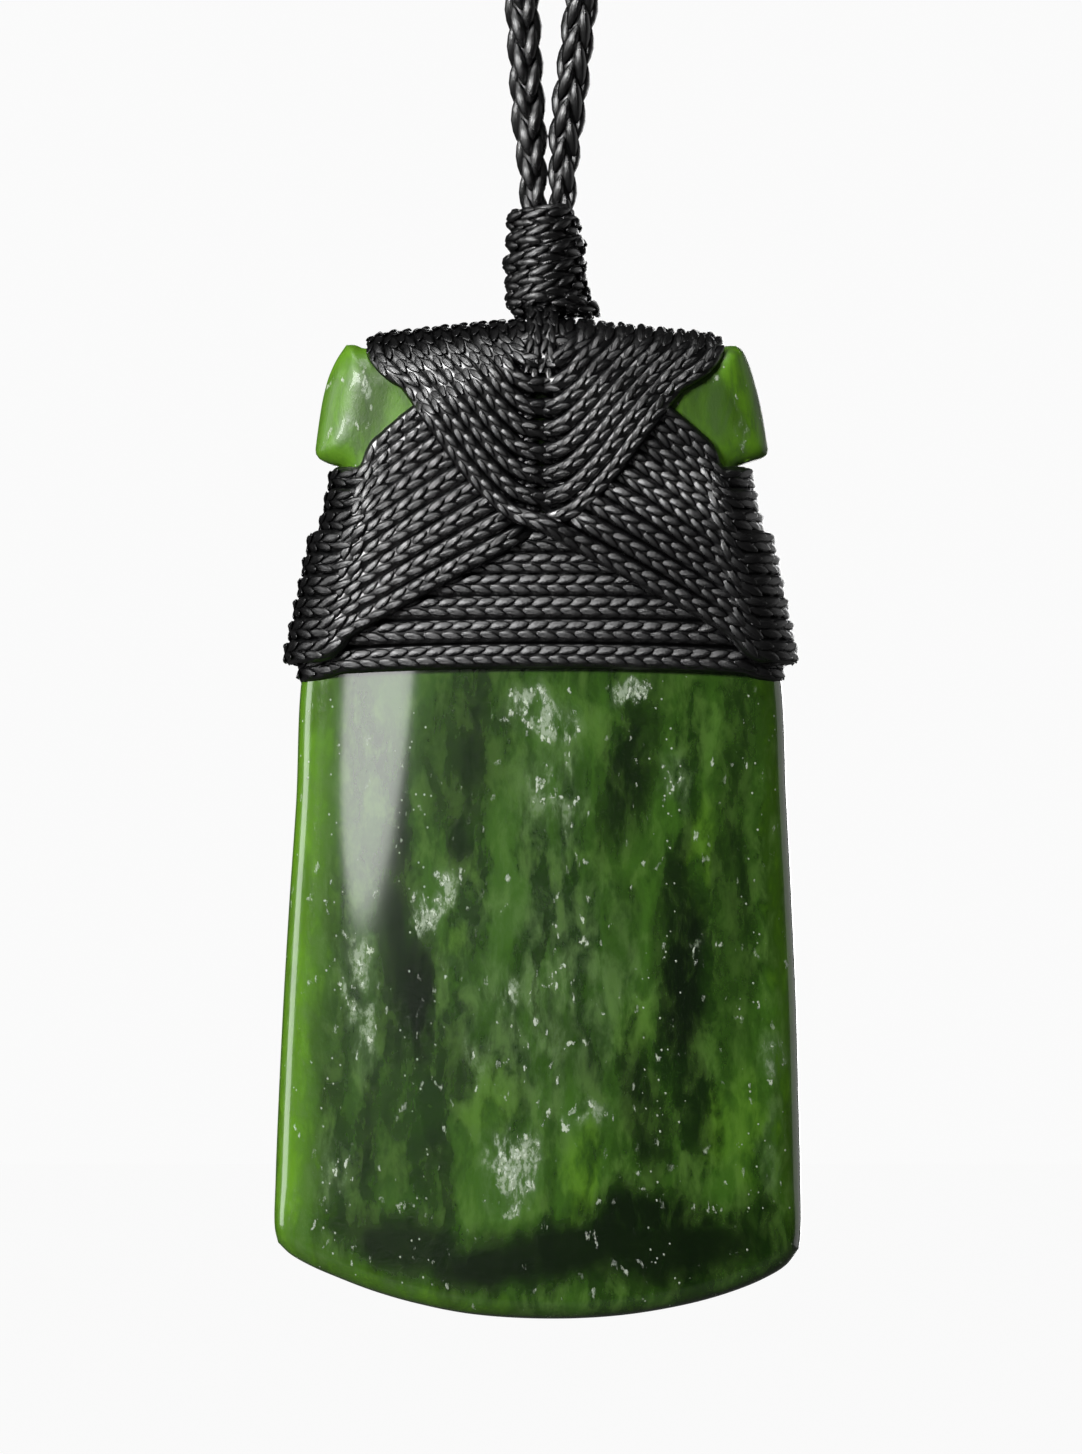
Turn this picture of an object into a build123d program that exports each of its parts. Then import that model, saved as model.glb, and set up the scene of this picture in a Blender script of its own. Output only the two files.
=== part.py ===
"""Jade adze-blade pendant on a plaited neck cord, in millimetres.

The blade hangs in the XZ plane with its polished front towards -Y. The origin is the inside of the
neck cord's top, where it bears on the neck. A "drop" is a depth below the blade's head.
"""
from build123d import *
import math
import os

# Blade of jade, a single polished stone
stone_length = 65.1
stone_thickness = 7.0
head_half_width = 14.0
head_arch = 0.45
ear_half_width = 15.05
ear_height = 7.75
ear_left_round = 1.8
ear_right_round = 1.4
step_fall = 0.55
notch_half_width = 12.95
waist_half_width = 15.95
belly_flare = 1.1
belly_drop = 43.0
left_flare = 1.77
left_rise = 4.9
right_flare = 1.37
right_rise = 4.1
corner_round = 1.4
lowest_x = 1.0
cross_crown = 1.2
edge_round = 1.2
bevel_length = 12.0
cutting_edge = 2.4

# Waxed binding cord, laid flat in turns that touch
cord_thickness = 0.8
wrap_gap = 0.1
groove_width = 0.2
groove_depth = 0.3

# Crossed turns: each runs from the head over the front to the far side, and back behind
crossed_turns = 9
head_first = 1.4
head_pitch = 1.24
centre_last = 12.3
centre_pitch = 1.55
side_first = 9.1
side_pitch = 1.44
inner_head_bow = 0.3
outer_head_bow = 1.0
inner_side_bow = 0.82
outer_side_bow = 0.08
past_side = 0.15

# Level turns round the waist, under the crossed ones
waist_turns = 6
waist_pitch = 1.6
binding_drop = 22.3

# Whipping above the head: a row for each turn, from the top down
whip_height = 6.9
whip_half_width = 2.95
whip_half_depth = 2.3
whip_x = 0.4
turn_gap = 0.1
turn_round = 0.35
core_wall = 0.12
WHIP_TURNS = [
    # share of the height, share of the half width, sideways shift as a share of the half width
    (0.24, 0.88, -0.05),
    (0.22, 0.94, 0.0),
    (0.20, 0.98, -0.03),
    (0.16, 0.97, 0.0),
    (0.18, 1.04, 0.07),
]
tuck_radius = 0.65
tuck_x = 3.4
tuck_rise = 0.75

# Neck cord: a round plait, in one loop that goes over the head
plait_diameter = 2.4
squeezed_diameter = 1.6
leg_spacing = 2.0
taper_length = 7.0
pocket_depth = 1.0
bend_share = 0.45

# The cord's bends, up the right leg, round the neck and down the left leg
LOOP_ROUTE = [
    # sideways place, height above the whipping
    (2.95, 17.0),
    (5.2, 34.0),
    (11.2, 66.0),
    (22.0, 112.0),
    (35.5, 166.0),
    (48.4, 212.0),
    (56.4, 247.0),
    (52.6, 281.0),
    (33.5, 304.6),
    (0.0, 311.0),
    (-33.5, 304.6),
    (-52.6, 281.0),
    (-56.4, 247.0),
    (-48.4, 212.0),
    (-35.0, 166.0),
    (-20.8, 112.0),
    (-9.2, 66.0),
    (-3.1, 34.0),
    (-1.4, 17.0),
]


def bend_radii(points):
    """Arc of each bend of a route, which takes up a share of the shorter run beside it."""
    radii = []
    for before, bend, after in zip(points, points[1:], points[2:]):
        turn = math.radians((bend - before).get_angle(after - bend))
        shorter = min((bend - before).length, (after - bend).length)
        radii.append(bend_share * shorter / math.tan(turn / 2))
    return radii


def loop_points(foot_z):
    """Ends and bends of the neck cord above its two tapers, with the tapers' feet at a height."""
    bends = [Vector(x, 0, foot_z + height) for x, height in LOOP_ROUTE]
    ends = []
    for foot, bend in zip(leg_feet(foot_z), (bends[0], bends[-1])):
        ends.append(foot + (bend - foot).normalized() * taper_length)
    return [ends[0], *bends, ends[1]]


def leg_feet(foot_z):
    """Where the right and the left leg enter the whipping."""
    return [Vector(whip_x + sign * leg_spacing / 2, 0, foot_z) for sign in (1, -1)]


def loop_line(points):
    """Straight runs and tangent arcs through a route's points."""
    return FilletPolyline(*points, radius=bend_radii(points))


# The blade's sides flare out from the waist, and its corners rise from the lowest point
belly_half_width = waist_half_width + belly_flare
left_corner = (waist_half_width + left_flare, stone_length - left_rise)
right_corner = (waist_half_width + right_flare, stone_length - right_rise)

# Heights that follow from the sizes: the loop's highest line lies half a plait above the origin
plait_radius = plait_diameter / 2
squeezed_radius = squeezed_diameter / 2
first_level = wrap_gap + cord_thickness
second_level = wrap_gap + 2 * cord_thickness
whip_top_z = plait_radius - loop_line(loop_points(0)).bounding_box().max.Z
whip_bottom_z = whip_top_z - whip_height
head_z = whip_bottom_z - wrap_gap - second_level
waist_start = binding_drop - waist_turns * waist_pitch
groove_share = groove_width / centre_pitch / 2


def at(x, drop):
    """Point of the front view, from its sideways place and its drop below the blade's head."""
    return Vector(x, 0, head_z - drop)


def front_face(edges):
    """Face of the front view inside a closed chain of edges, facing the front."""
    face = Face(Wire(edges))
    return face if face.normal_at().Y < 0 else -face


def rounded(face, place, radius):
    """Face with its corner nearest to a place rounded."""
    corner = min(face.vertices(), key=lambda vertex: (Vector(*vertex) - place).length)
    return face.fillet_2d(radius, [corner])


def blade_outline():
    """Front view of the stone below its head: waist, flared sides and curved edge."""
    sides = []
    for sign, (half, drop) in ((-1, left_corner), (1, right_corner)):
        notch = at(sign * notch_half_width, ear_height + step_fall)
        waist = at(sign * waist_half_width, binding_drop)
        belly = at(sign * belly_half_width, belly_drop)
        sides.append([
            Line(at(sign * notch_half_width, ear_height / 2), notch),
            Line(notch, waist),
            ThreePointArc(waist, belly, at(sign * half, drop)),
        ])
    left, right = sides
    top = Line(left[0] @ 0, right[0] @ 0)
    edge = ThreePointArc(left[-1] @ 1, at(lowest_x, stone_length), right[-1] @ 1)
    face = front_face([top, *left, edge, *right])
    for side in sides:
        face = rounded(face, side[-1] @ 1, corner_round)
    return face


def ears_outline():
    """Front view of the head's block, whose two ends are the ears."""
    sides = []
    for sign in (-1, 1):
        step = at(sign * ear_half_width, ear_height)
        inside = at(sign * (2 * notch_half_width - ear_half_width), ear_height + 2 * step_fall)
        sides.append([Line(at(sign * head_half_width, head_arch), step), Line(step, inside)])
    left, right = sides
    head = ThreePointArc(left[0] @ 0, at(0, 0), right[0] @ 0)
    face = front_face([head, *left, Line(left[-1] @ 1, right[-1] @ 1), *right])
    for side, radius in ((left, ear_left_round), (right, ear_right_round)):
        face = rounded(face, side[0] @ 0, radius)
    return face


def bound_outline():
    """Front view of what the binding lies on: head and waist without the ears."""
    sides = []
    for sign in (-1, 1):
        head = at(sign * notch_half_width, head_arch)
        notch = at(sign * notch_half_width, ear_height + step_fall)
        waist = at(sign * waist_half_width, binding_drop)
        below = at(sign * waist_half_width, belly_drop)
        sides.append([Line(head, notch), Line(notch, waist), Line(waist, below)])
    left, right = sides
    head = ThreePointArc(left[0] @ 0, at(0, 0), right[0] @ 0)
    return front_face([head, *left, Line(left[-1] @ 1, right[-1] @ 1), *right])


def dome(sign, grow):
    """Upright cylinder whose wall is the blade's front (-1) or back (1), moved out by grow."""
    radius = (belly_half_width ** 2 + cross_crown ** 2) / (2 * cross_crown)
    middle = at(0, stone_length / 2) + Vector(0, sign * (stone_thickness / 2 - radius), 0)
    return Pos(middle) * Cylinder(radius + grow, 2 * stone_length)


def domed(outline, grow):
    """Solid of a front view between the blade's two domed faces, moved out by grow all round."""
    face = offset(outline, grow, kind=Kind.INTERSECTION) if grow else outline
    block = extrude(face, stone_thickness, both=True)
    return (block & dome(-1, grow) & dome(1, grow)).solid()


def softened(solid):
    """Domed solid with the edges of its front and back rounded."""
    faces = solid.faces().sort_by(Axis.Y)
    return fillet(faces[0].edges() + faces[-1].edges(), edge_round)


def bound_body(grow):
    """What the binding lies on, grown by a thickness of cord."""
    return softened(domed(bound_outline(), grow))


def ground_bevel():
    """What is ground off the back: outside a cone that narrows backwards from the cutting edge."""
    reach = max(left_corner[0], right_corner[0])
    rise = stone_length - (left_corner[1] + right_corner[1]) / 2
    edge_radius = (reach ** 2 + rise ** 2) / (2 * rise)
    centre = at(lowest_x, stone_length - edge_radius)
    edge_y = cutting_edge - stone_thickness / 2
    depth = stone_thickness / 2 - edge_y
    cone = Plane(centre + Vector(0, edge_y, 0), z_dir=(0, 1, 0)) * Cone(
        edge_radius, edge_radius - bevel_length, depth, align=(Align.CENTER, Align.CENTER, Align.MIN)
    )
    block_height = bevel_length + rise
    block = Pos(0, edge_y + depth / 2, head_z - stone_length + block_height / 2 - 1) * Box(
        4 * reach, depth, block_height
    )
    return block - cone


def build_stone(grow):
    """Blade with its ears and notches, and a cutting edge ground from behind."""
    blade = softened(domed(blade_outline(), grow))
    ears = softened(domed(ears_outline(), grow))
    return (blade + ears - ground_bevel()).solid()


def band(first_drop, last_drop):
    """Block between two drops, wider and deeper than the whole pendant."""
    height = last_drop - first_drop
    middle = head_z - (first_drop + last_drop) / 2
    return Pos(0, 0, middle) * Box(6 * belly_half_width, 6 * stone_thickness, height)


def turn_share(turn):
    """Place of a crossed turn from the innermost (0) to the outermost (1)."""
    return (turn - 1) / (crossed_turns - 1)


def turn_places(turn):
    """Where a crossed turn passes the head, the middle of the front and the far side."""
    side_drop = side_first + side_pitch * (turn - 1)
    notch_drop = ear_height + step_fall
    slope = (waist_half_width - notch_half_width) / (binding_drop - notch_drop)
    side_x = notch_half_width + slope * (side_drop - notch_drop) + first_level
    head = (head_first + head_pitch * (turn - 1), -second_level)
    centre = (0, centre_last - centre_pitch * (crossed_turns - turn))
    return head, centre, (side_x, side_drop)


def bowed(start, end, sag, sign):
    """Arc between two places of the front view whose middle sags below the straight line."""
    middle = ((start[0] + end[0]) / 2, (start[1] + end[1]) / 2 + sag)
    return ThreePointArc(*(at(sign * x, drop) for x, drop in (start, middle, end)))


def head_line(turn, sign):
    """Stretch of a crossed turn from the head to the middle of the front."""
    (x, drop), centre, _ = turn_places(turn)
    bow = inner_head_bow + (outer_head_bow - inner_head_bow) * turn_share(turn)
    return bowed((-x, drop), centre, bow, sign)


def side_line(turn, sign):
    """Stretch of a crossed turn from the middle of the front to just past the far side."""
    _, centre, side = turn_places(turn)
    past = tuple(there + past_side * (there - here) for here, there in zip(centre, side))
    bow = inner_side_bow + (outer_side_bow - inner_side_bow) * turn_share(turn)
    return bowed(centre, past, -bow, sign)


def herringbone_face():
    """Front view of the bundle's upper layer, from the head to where the last turns cross."""
    left = head_line(crossed_turns + 0.5, 1)
    right = head_line(crossed_turns + 0.5, -1)
    return front_face([left, right, Line(left @ 0, right @ 0)])


def between(line, first, last, sign):
    """Front view of the strip between two turns of the same stretch."""
    upper = line(first, sign)
    lower = line(last, sign)
    return front_face([upper, Line(upper @ 1, lower @ 1), lower, Line(upper @ 0, lower @ 0)])


def fan_face(sign):
    """Front view of the turns that fan out from the middle to one side."""
    return between(side_line, 0.5, crossed_turns + 0.5, sign)


def through(face):
    """Front view as a block that is deeper than the whole pendant."""
    return extrude(Pos(0, 3 * stone_thickness, 0) * face, 6 * stone_thickness, dir=(0, -1, 0))


def build_waist_turns(stone_room, bound):
    """Level turns round the waist, laid side by side as one band."""
    turns = bound["first"] & band(waist_start, binding_drop)
    for turn in range(1, waist_turns):
        drop = waist_start + turn * waist_pitch
        turns -= band(drop - groove_width / 2, drop + groove_width / 2) - bound["first core"]
    return (turns - stone_room).solid()


def turn_grooves(bound):
    """Grooves between the crossed turns, from the head to the middle and on to the far side."""
    herringbone = herringbone_face()
    raised_core = bound["second core"] & band(waist_start, stone_length)
    grooves = []
    for turn in range(1, crossed_turns):
        first = turn + 0.5 - groove_share
        last = turn + 0.5 + groove_share
        for sign in (-1, 1):
            head = between(head_line, first, last, sign)
            side = (between(side_line, first, last, sign) - herringbone).faces().sort_by()[-1]
            grooves.append(through(head) - bound["second core"])
            grooves.append(through(side) - bound["first core"] - raised_core)
    return [solid for groove in grooves for solid in groove.solids()]


def build_crossed_turns(stone_room, bound):
    """Crossed turns over the head and waist, one woven solid with a groove beside each turn."""
    herringbone = herringbone_face()
    fans = Sketch() + fan_face(-1) + fan_face(1)
    bundle = bound["first"] & through((herringbone + fans).face())
    bundle += bound["second"] & through(herringbone)
    for sign in (-1, 1):
        bundle += bound["second"] & through(fan_face(sign)) & band(waist_start, stone_length)
    bundle -= stone_room
    bundle -= bound["waist room"] & band(waist_start - wrap_gap, stone_length)
    bundle = bundle.cut(*turn_grooves(bound))
    for foot in leg_feet(head_z + second_level - pocket_depth):
        bundle -= upright(squeezed_radius + wrap_gap, foot, 2 * pocket_depth)
    return bundle.solid()


def upright(radius, foot, height):
    """Upright round pin or hole, from its foot up."""
    return Pos(foot) * Cylinder(radius, height, align=(Align.CENTER, Align.CENTER, Align.MIN))


def build_whipping():
    """Coarse turns round both legs of the neck cord, with the end of the cord tucked in below."""
    core_radius = squeezed_radius + wrap_gap + core_wall
    core_outline = SlotOverall(leg_spacing + 2 * core_radius, 2 * core_radius)
    whipping = extrude(Pos(whip_x, 0, whip_bottom_z) * core_outline, whip_height)
    top_z = whip_top_z
    for height_share, width_share, shift in WHIP_TURNS:
        height = whip_height * height_share
        outline = SlotOverall(2 * whip_half_width * width_share, 2 * whip_half_depth * width_share)
        middle = whip_x + shift * whip_half_width
        turn = extrude(Pos(middle, 0, top_z - height) * outline, height - turn_gap)
        rims = turn.edges().group_by(Axis.Z)
        turn = fillet(rims[0] + rims[-1], turn_round)
        whipping += turn
        top_z -= height
    whipping += Pos(tuck_x, 0, whip_bottom_z + tuck_rise) * Sphere(tuck_radius)
    for foot in leg_feet(whip_bottom_z - wrap_gap):
        whipping -= upright(squeezed_radius + wrap_gap, foot, whip_height + 2 * wrap_gap)
    return whipping.solid()


def build_neck_cord():
    """Whole loop of the plait, with each leg squeezed to a thin tail in the whipping."""
    points = loop_points(whip_top_z)
    line = loop_line(points)
    start = Plane(points[0], z_dir=line % 0)
    cord = sweep(start * Circle(plait_radius), path=line)
    straight_volume = math.pi * plait_radius ** 2 * line.length
    print("neck cord radii:", [round(radius, 1) for radius in bend_radii(points)])
    print(f"neck cord line {line.length:.1f} mm, volume over section times line "
          f"{cord.volume / straight_volume:.4f}")
    tail_foot_z = head_z + second_level - pocket_depth + wrap_gap
    for foot, end in zip(leg_feet(whip_top_z), (points[0], points[-1])):
        taper = Plane(foot, z_dir=end - foot) * Cone(
            squeezed_radius, plait_radius, taper_length, align=(Align.CENTER, Align.CENTER, Align.MIN)
        )
        tail_foot = Vector(foot.X, 0, tail_foot_z)
        cord += taper + upright(squeezed_radius, tail_foot, foot.Z - tail_foot_z)
    return cord.solid()


stone_room = build_stone(wrap_gap)
bound_bodies = {
    "first": bound_body(first_level),
    "first core": bound_body(first_level - groove_depth),
    "second": bound_body(second_level),
    "second core": bound_body(second_level - groove_depth),
    "waist room": bound_body(first_level + wrap_gap),
}
nodes = {
    "stone": build_stone(0),
    "waist_turns": build_waist_turns(stone_room, bound_bodies),
    "crossed_turns": build_crossed_turns(stone_room, bound_bodies),
    "whipping": build_whipping(),
    "neck_cord": build_neck_cord(),
}
os.makedirs("parts", exist_ok=True)
for name, solid in nodes.items():
    export_step(solid, f"parts/{name}.step")
    print(f"{name}: {solid.volume:.1f} mm3")
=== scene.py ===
"""Dress of a jade adze-blade pendant: the polished stone, its binding of waxed braid, the whipping and the
plaited neck cord. Sizes are in millimetres, and a mesh is written in metres. A drop is a depth below the
blade's head, and the front faces -Y."""

import logging
import math
from dataclasses import dataclass, fields, replace
from enum import Enum

import bpy
import numpy as np
from mathutils import Euler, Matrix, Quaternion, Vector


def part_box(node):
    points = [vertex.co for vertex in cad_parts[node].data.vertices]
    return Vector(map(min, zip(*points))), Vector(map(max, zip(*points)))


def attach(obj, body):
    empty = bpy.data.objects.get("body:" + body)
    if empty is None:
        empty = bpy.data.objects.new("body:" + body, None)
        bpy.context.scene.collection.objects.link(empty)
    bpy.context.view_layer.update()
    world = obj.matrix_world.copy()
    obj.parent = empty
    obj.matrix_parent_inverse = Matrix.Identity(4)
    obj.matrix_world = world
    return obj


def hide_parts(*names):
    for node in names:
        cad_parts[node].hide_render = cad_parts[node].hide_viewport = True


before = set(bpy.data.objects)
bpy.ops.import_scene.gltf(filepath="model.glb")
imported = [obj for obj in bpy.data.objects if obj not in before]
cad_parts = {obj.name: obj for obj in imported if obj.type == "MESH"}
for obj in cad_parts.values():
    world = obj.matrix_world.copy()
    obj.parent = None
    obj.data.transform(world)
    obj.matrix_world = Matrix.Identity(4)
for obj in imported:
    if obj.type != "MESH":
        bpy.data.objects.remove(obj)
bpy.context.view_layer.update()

log = logging.getLogger("pendant")
MM = 0.001
TINY = 1e-12
SPAN_PARTS = 24
HEAD_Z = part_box("stone")[1][2] / MM
WHIP_TOP_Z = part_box("whipping")[1][2] / MM
Pair = tuple[float, float]
Triple = tuple[float, float, float]
Colour = tuple[float, float, float, float]
Patch = tuple[float, float, float, float, float, float]
Feed = bpy.types.NodeSocket | float | tuple[float, ...]
BLACK: Colour = (0.0, 0.0, 0.0, 1.0)
GREY: Triple = (0.5, 0.5, 0.5)


class Lean(Enum):
    """Which way a crossed turn leans: its name is the side of the head that it comes from."""

    FROM_LEFT = 1
    FROM_RIGHT = -1


def smoothstep(low: float, high: float, value: np.ndarray) -> np.ndarray:
    """Soft step from 0 at low to 1 at high."""
    share = np.clip((np.asarray(value, float) - low) / (high - low), 0, 1)
    return share * share * (3 - 2 * share)


def blend(first: np.ndarray, second: np.ndarray, low: float, high: float, place: float) -> np.ndarray:
    """Mix of two points: the first at low and the second at high."""
    return ((high - place) * first + (place - low) * second) / (high - low)


def spline_through(points: np.ndarray, step: float, closed: bool) -> np.ndarray:
    """Lay a smooth line through guide points.

    Args:
        points: the guide points, one a row.
        step: the spacing of the new points.
        closed: whether the line runs back to its first point.

    Returns:
        The new points, evenly spaced.
    """
    points = np.asarray(points, float)
    if closed:
        padded = np.vstack([points[-1], points, points[:2]])
    else:
        padded = np.vstack([2 * points[0] - points[1], points, 2 * points[-1] - points[-2]])
    fine = []
    for before, start, end, after in zip(padded, padded[1:], padded[2:], padded[3:]):
        knots = np.cumsum([0.0] + [math.sqrt(max(np.linalg.norm(b - a), TINY))
                                   for a, b in ((before, start), (start, end), (end, after))])
        for share in np.linspace(0, 1, SPAN_PARTS, endpoint=False):
            place = knots[1] + share * (knots[2] - knots[1])
            first = blend(before, start, knots[0], knots[1], place)
            second = blend(start, end, knots[1], knots[2], place)
            third = blend(end, after, knots[2], knots[3], place)
            fine.append(blend(blend(first, second, knots[0], knots[2], place),
                              blend(second, third, knots[1], knots[3], place), knots[1], knots[2], place))
    if not closed:
        fine.append(points[-1])
    return evenly(np.array(fine), step, closed)


def evenly(points: np.ndarray, step: float, closed: bool) -> np.ndarray:
    """Space the points of a line evenly.

    Args:
        points: the line's points.
        step: the wanted spacing.
        closed: whether the line runs back to its first point.

    Returns:
        The evenly spaced points.
    """
    line = np.vstack([points, points[:1]]) if closed else points
    lengths = lengths_along(line)
    count = max(int(round(lengths[-1] / step)), 3)
    even = at_lengths(line, lengths, np.linspace(0, lengths[-1], count + 1))
    return even[:-1] if closed else even


def lengths_along(line: np.ndarray) -> np.ndarray:
    """Length of a line up to each of its points."""
    return np.concatenate([[0], np.cumsum(np.linalg.norm(np.diff(line, axis=0), axis=1))])


def at_lengths(line: np.ndarray, lengths: np.ndarray, places: np.ndarray) -> np.ndarray:
    """Points of a line at given lengths along it."""
    return np.column_stack([np.interp(places, lengths, line[:, axis]) for axis in range(line.shape[1])])


def unit(vectors: np.ndarray) -> np.ndarray:
    """Vectors at length one."""
    return vectors / np.maximum(np.linalg.norm(vectors, axis=-1, keepdims=True), TINY)


def along_loop(points: np.ndarray) -> np.ndarray:
    """Direction of a closed line at each of its points."""
    return unit(np.roll(points, -1, axis=0) - np.roll(points, 1, axis=0))


def outline_distance(places: np.ndarray, outline: np.ndarray) -> np.ndarray:
    """Measure how far inside a closed outline places lie.

    Args:
        places: the places, as x and drop.
        outline: the outline's corners, in order.

    Returns:
        The distances, positive inside and negative outside.
    """
    ends = np.roll(outline, -1, axis=0)
    nearest = np.full(len(places), np.inf)
    inside = np.zeros(len(places), bool)
    for start, end in zip(outline, ends):
        along = end - start
        share = np.clip((places - start) @ along / max(along @ along, TINY), 0, 1)
        nearest = np.minimum(nearest, np.linalg.norm(places - start - share[:, None] * along, axis=1))
        crosses = (start[1] > places[:, 1]) != (end[1] > places[:, 1])
        with np.errstate(divide="ignore", invalid="ignore"):
            cut = start[0] + (places[:, 1] - start[1]) / (end[1] - start[1]) * along[0]
        inside ^= crosses & (places[:, 0] < cut)
    return np.where(inside, nearest, -nearest)


def in_place(points: np.ndarray) -> np.ndarray:
    """Points given as x, y and drop, as x, y and z."""
    return np.column_stack([points[:, 0], points[:, 1], HEAD_Z - points[:, 2]])


def turned_over(vectors: np.ndarray) -> np.ndarray:
    """Directions given as x, y and drop, as x, y and z."""
    return vectors * np.array([1.0, 1.0, -1.0])


@dataclass
class Strand:
    """A line that a cord follows: its points, the way out of what it lies on, and how far it is squeezed."""

    points: np.ndarray
    outward: np.ndarray
    closed: bool
    squeeze: np.ndarray | None = None


@dataclass(frozen=True)
class NoiseLook:
    """A noise pattern: how far it is drawn out upright, and the noise's own values."""

    upright: float
    scale: float
    detail: float
    roughness: float = 0.5
    distortion: float = 0.0


@dataclass
class TreeMaker:
    """Adds nodes to a tree, each with its inputs set or joined as it is made.

    In a group, entry has what comes in and exit has what goes out.
    """

    tree: bpy.types.NodeTree
    entry: bpy.types.bpy_prop_collection | None = None
    exit: bpy.types.bpy_prop_collection | None = None

    def add(self, kind: str, inputs: dict | None = None, **settings: object) -> bpy.types.Node:
        """Add a node.

        Args:
            kind: the node's type.
            inputs: socket names or numbers, and a value or the output that feeds each.
            settings: the node's own properties.

        Returns:
            The new node.
        """
        node = self.tree.nodes.new(kind)
        for name, value in settings.items():
            setattr(node, name, value)
        for key, value in (inputs or {}).items():
            socket = node.inputs[key]
            if isinstance(value, bpy.types.NodeSocket):
                self.tree.links.new(value, socket)
            else:
                socket.default_value = value
        return node

    def maths(self, operation: str, first: Feed, second: Feed) -> bpy.types.NodeSocket:
        """Output of a Math node."""
        return self.add("ShaderNodeMath", {0: first, 1: second}, operation=operation).outputs[0]

    def plus(self, first: Feed, second: Feed) -> bpy.types.NodeSocket:
        """Output of a Math node that adds."""
        return self.maths("ADD", first, second)

    def times(self, first: Feed, second: Feed) -> bpy.types.NodeSocket:
        """Output of a Math node that multiplies."""
        return self.maths("MULTIPLY", first, second)

    def most(self, first: Feed, second: Feed) -> bpy.types.NodeSocket:
        """Output of a Math node that takes the larger value."""
        return self.maths("MAXIMUM", first, second)

    def vectors(self, operation: str, first: Feed, second: Feed) -> bpy.types.NodeSocket:
        """Output of a Vector Math node with two vectors."""
        return self.add("ShaderNodeVectorMath", {0: first, 1: second}, operation=operation).outputs[0]

    def scaled(self, vector: Feed, scale: Feed) -> bpy.types.NodeSocket:
        """Output of a Vector Math node that scales a vector."""
        return self.add("ShaderNodeVectorMath", {0: vector, "Scale": scale}, operation="SCALE").outputs[0]

    def combined(self, x: Feed, y: Feed, z: Feed) -> bpy.types.NodeSocket:
        """Output of a Combine XYZ node."""
        return self.add("ShaderNodeCombineXYZ", {0: x, 1: y, 2: z}).outputs[0]

    def separate(self, vector: Feed) -> bpy.types.bpy_prop_collection:
        """Outputs of a Separate XYZ node."""
        return self.add("ShaderNodeSeparateXYZ", {0: vector}).outputs

    def mapped(self, value: Feed, old: Pair, new: Pair = (0.0, 1.0)) -> bpy.types.NodeSocket:
        """Output of a smooth Map Range node."""
        return self.add("ShaderNodeMapRange", {0: value, 1: old[0], 2: old[1], 3: new[0], 4: new[1]},
                        interpolation_type="SMOOTHSTEP").outputs[0]

    def mixed(self, share: Feed, first: Feed, second: Feed) -> bpy.types.NodeSocket:
        """Output of a colour Mix node."""
        return self.add("ShaderNodeMix", {0: share, 6: first, 7: second}, data_type="RGBA").outputs[2]

    def noise(self, vector: Feed, look: NoiseLook) -> bpy.types.bpy_prop_collection:
        """Make a Noise Texture node.

        Args:
            vector: the place, before it is drawn out.
            look: the pattern.

        Returns:
            The node's outputs: the value, and then the colour.
        """
        drawn_out = self.vectors("MULTIPLY", vector, (1.0, 1.0, look.upright))
        return self.add("ShaderNodeTexNoise", {
            "Vector": drawn_out, "Scale": look.scale, "Detail": look.detail, "Roughness": look.roughness,
            "Distortion": look.distortion}).outputs

    def turned(self, rotation: Feed, angles: Feed) -> bpy.types.NodeSocket:
        """Turn a rotation further about its own axes.

        Args:
            rotation: the rotation.
            angles: the turn about each axis, in radians.

        Returns:
            The output of the new rotation.
        """
        further = self.add("FunctionNodeEulerToRotation", {"Euler": angles}).outputs[0]
        return self.add("FunctionNodeRotateRotation", {"Rotation": rotation, "Rotate By": further},
                        rotation_space="LOCAL").outputs[0]


def new_group(name: str, kind: str, inputs: list[tuple], outputs: list[tuple]) -> TreeMaker:
    """Start a node group with named sockets.

    Args:
        name: the group's name.
        kind: the tree's type.
        inputs: name, socket type and default of each input.
        outputs: name and socket type of each output.

    Returns:
        The maker of the group's nodes.
    """
    tree = bpy.data.node_groups.new(name, kind)
    for label, socket_type, default in inputs:
        socket = tree.interface.new_socket(name=label, in_out="INPUT", socket_type=socket_type)
        if default is not None:
            socket.default_value = default
    for label, socket_type in outputs:
        tree.interface.new_socket(name=label, in_out="OUTPUT", socket_type=socket_type)
    return TreeMaker(tree, tree.nodes.new("NodeGroupInput").outputs, tree.nodes.new("NodeGroupOutput").inputs)


@dataclass(frozen=True)
class BraidSizes:
    """Sizes of a braid, in millimetres."""

    half_width: float
    half_thickness: float
    lobe_length: float
    lobe_width: float
    lobe_thickness: float
    lobe_spacing: float

    @classmethod
    def labels(cls) -> dict[str, str]:
        """The tree's input for each size, by the size's name."""
        return {size.name: size.name.replace("_", " ").title() for size in fields(cls)}

    def inputs(self, seed: int, material: bpy.types.Material) -> dict:
        """Give the tree's inputs.

        Args:
            seed: the seed of the lobes' small differences.
            material: the cord's finish.

        Returns:
            The inputs by name, with the sizes in metres.
        """
        sizes = {label: getattr(self, name) * MM for name, label in self.labels().items()}
        return {**sizes, "Seed": seed, "Material": material}


@dataclass(frozen=True)
class LobeRow:
    """One row of lobes along a braid."""

    side_share: float
    height_share: float
    roll: float
    yaw: float
    parity: int


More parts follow.
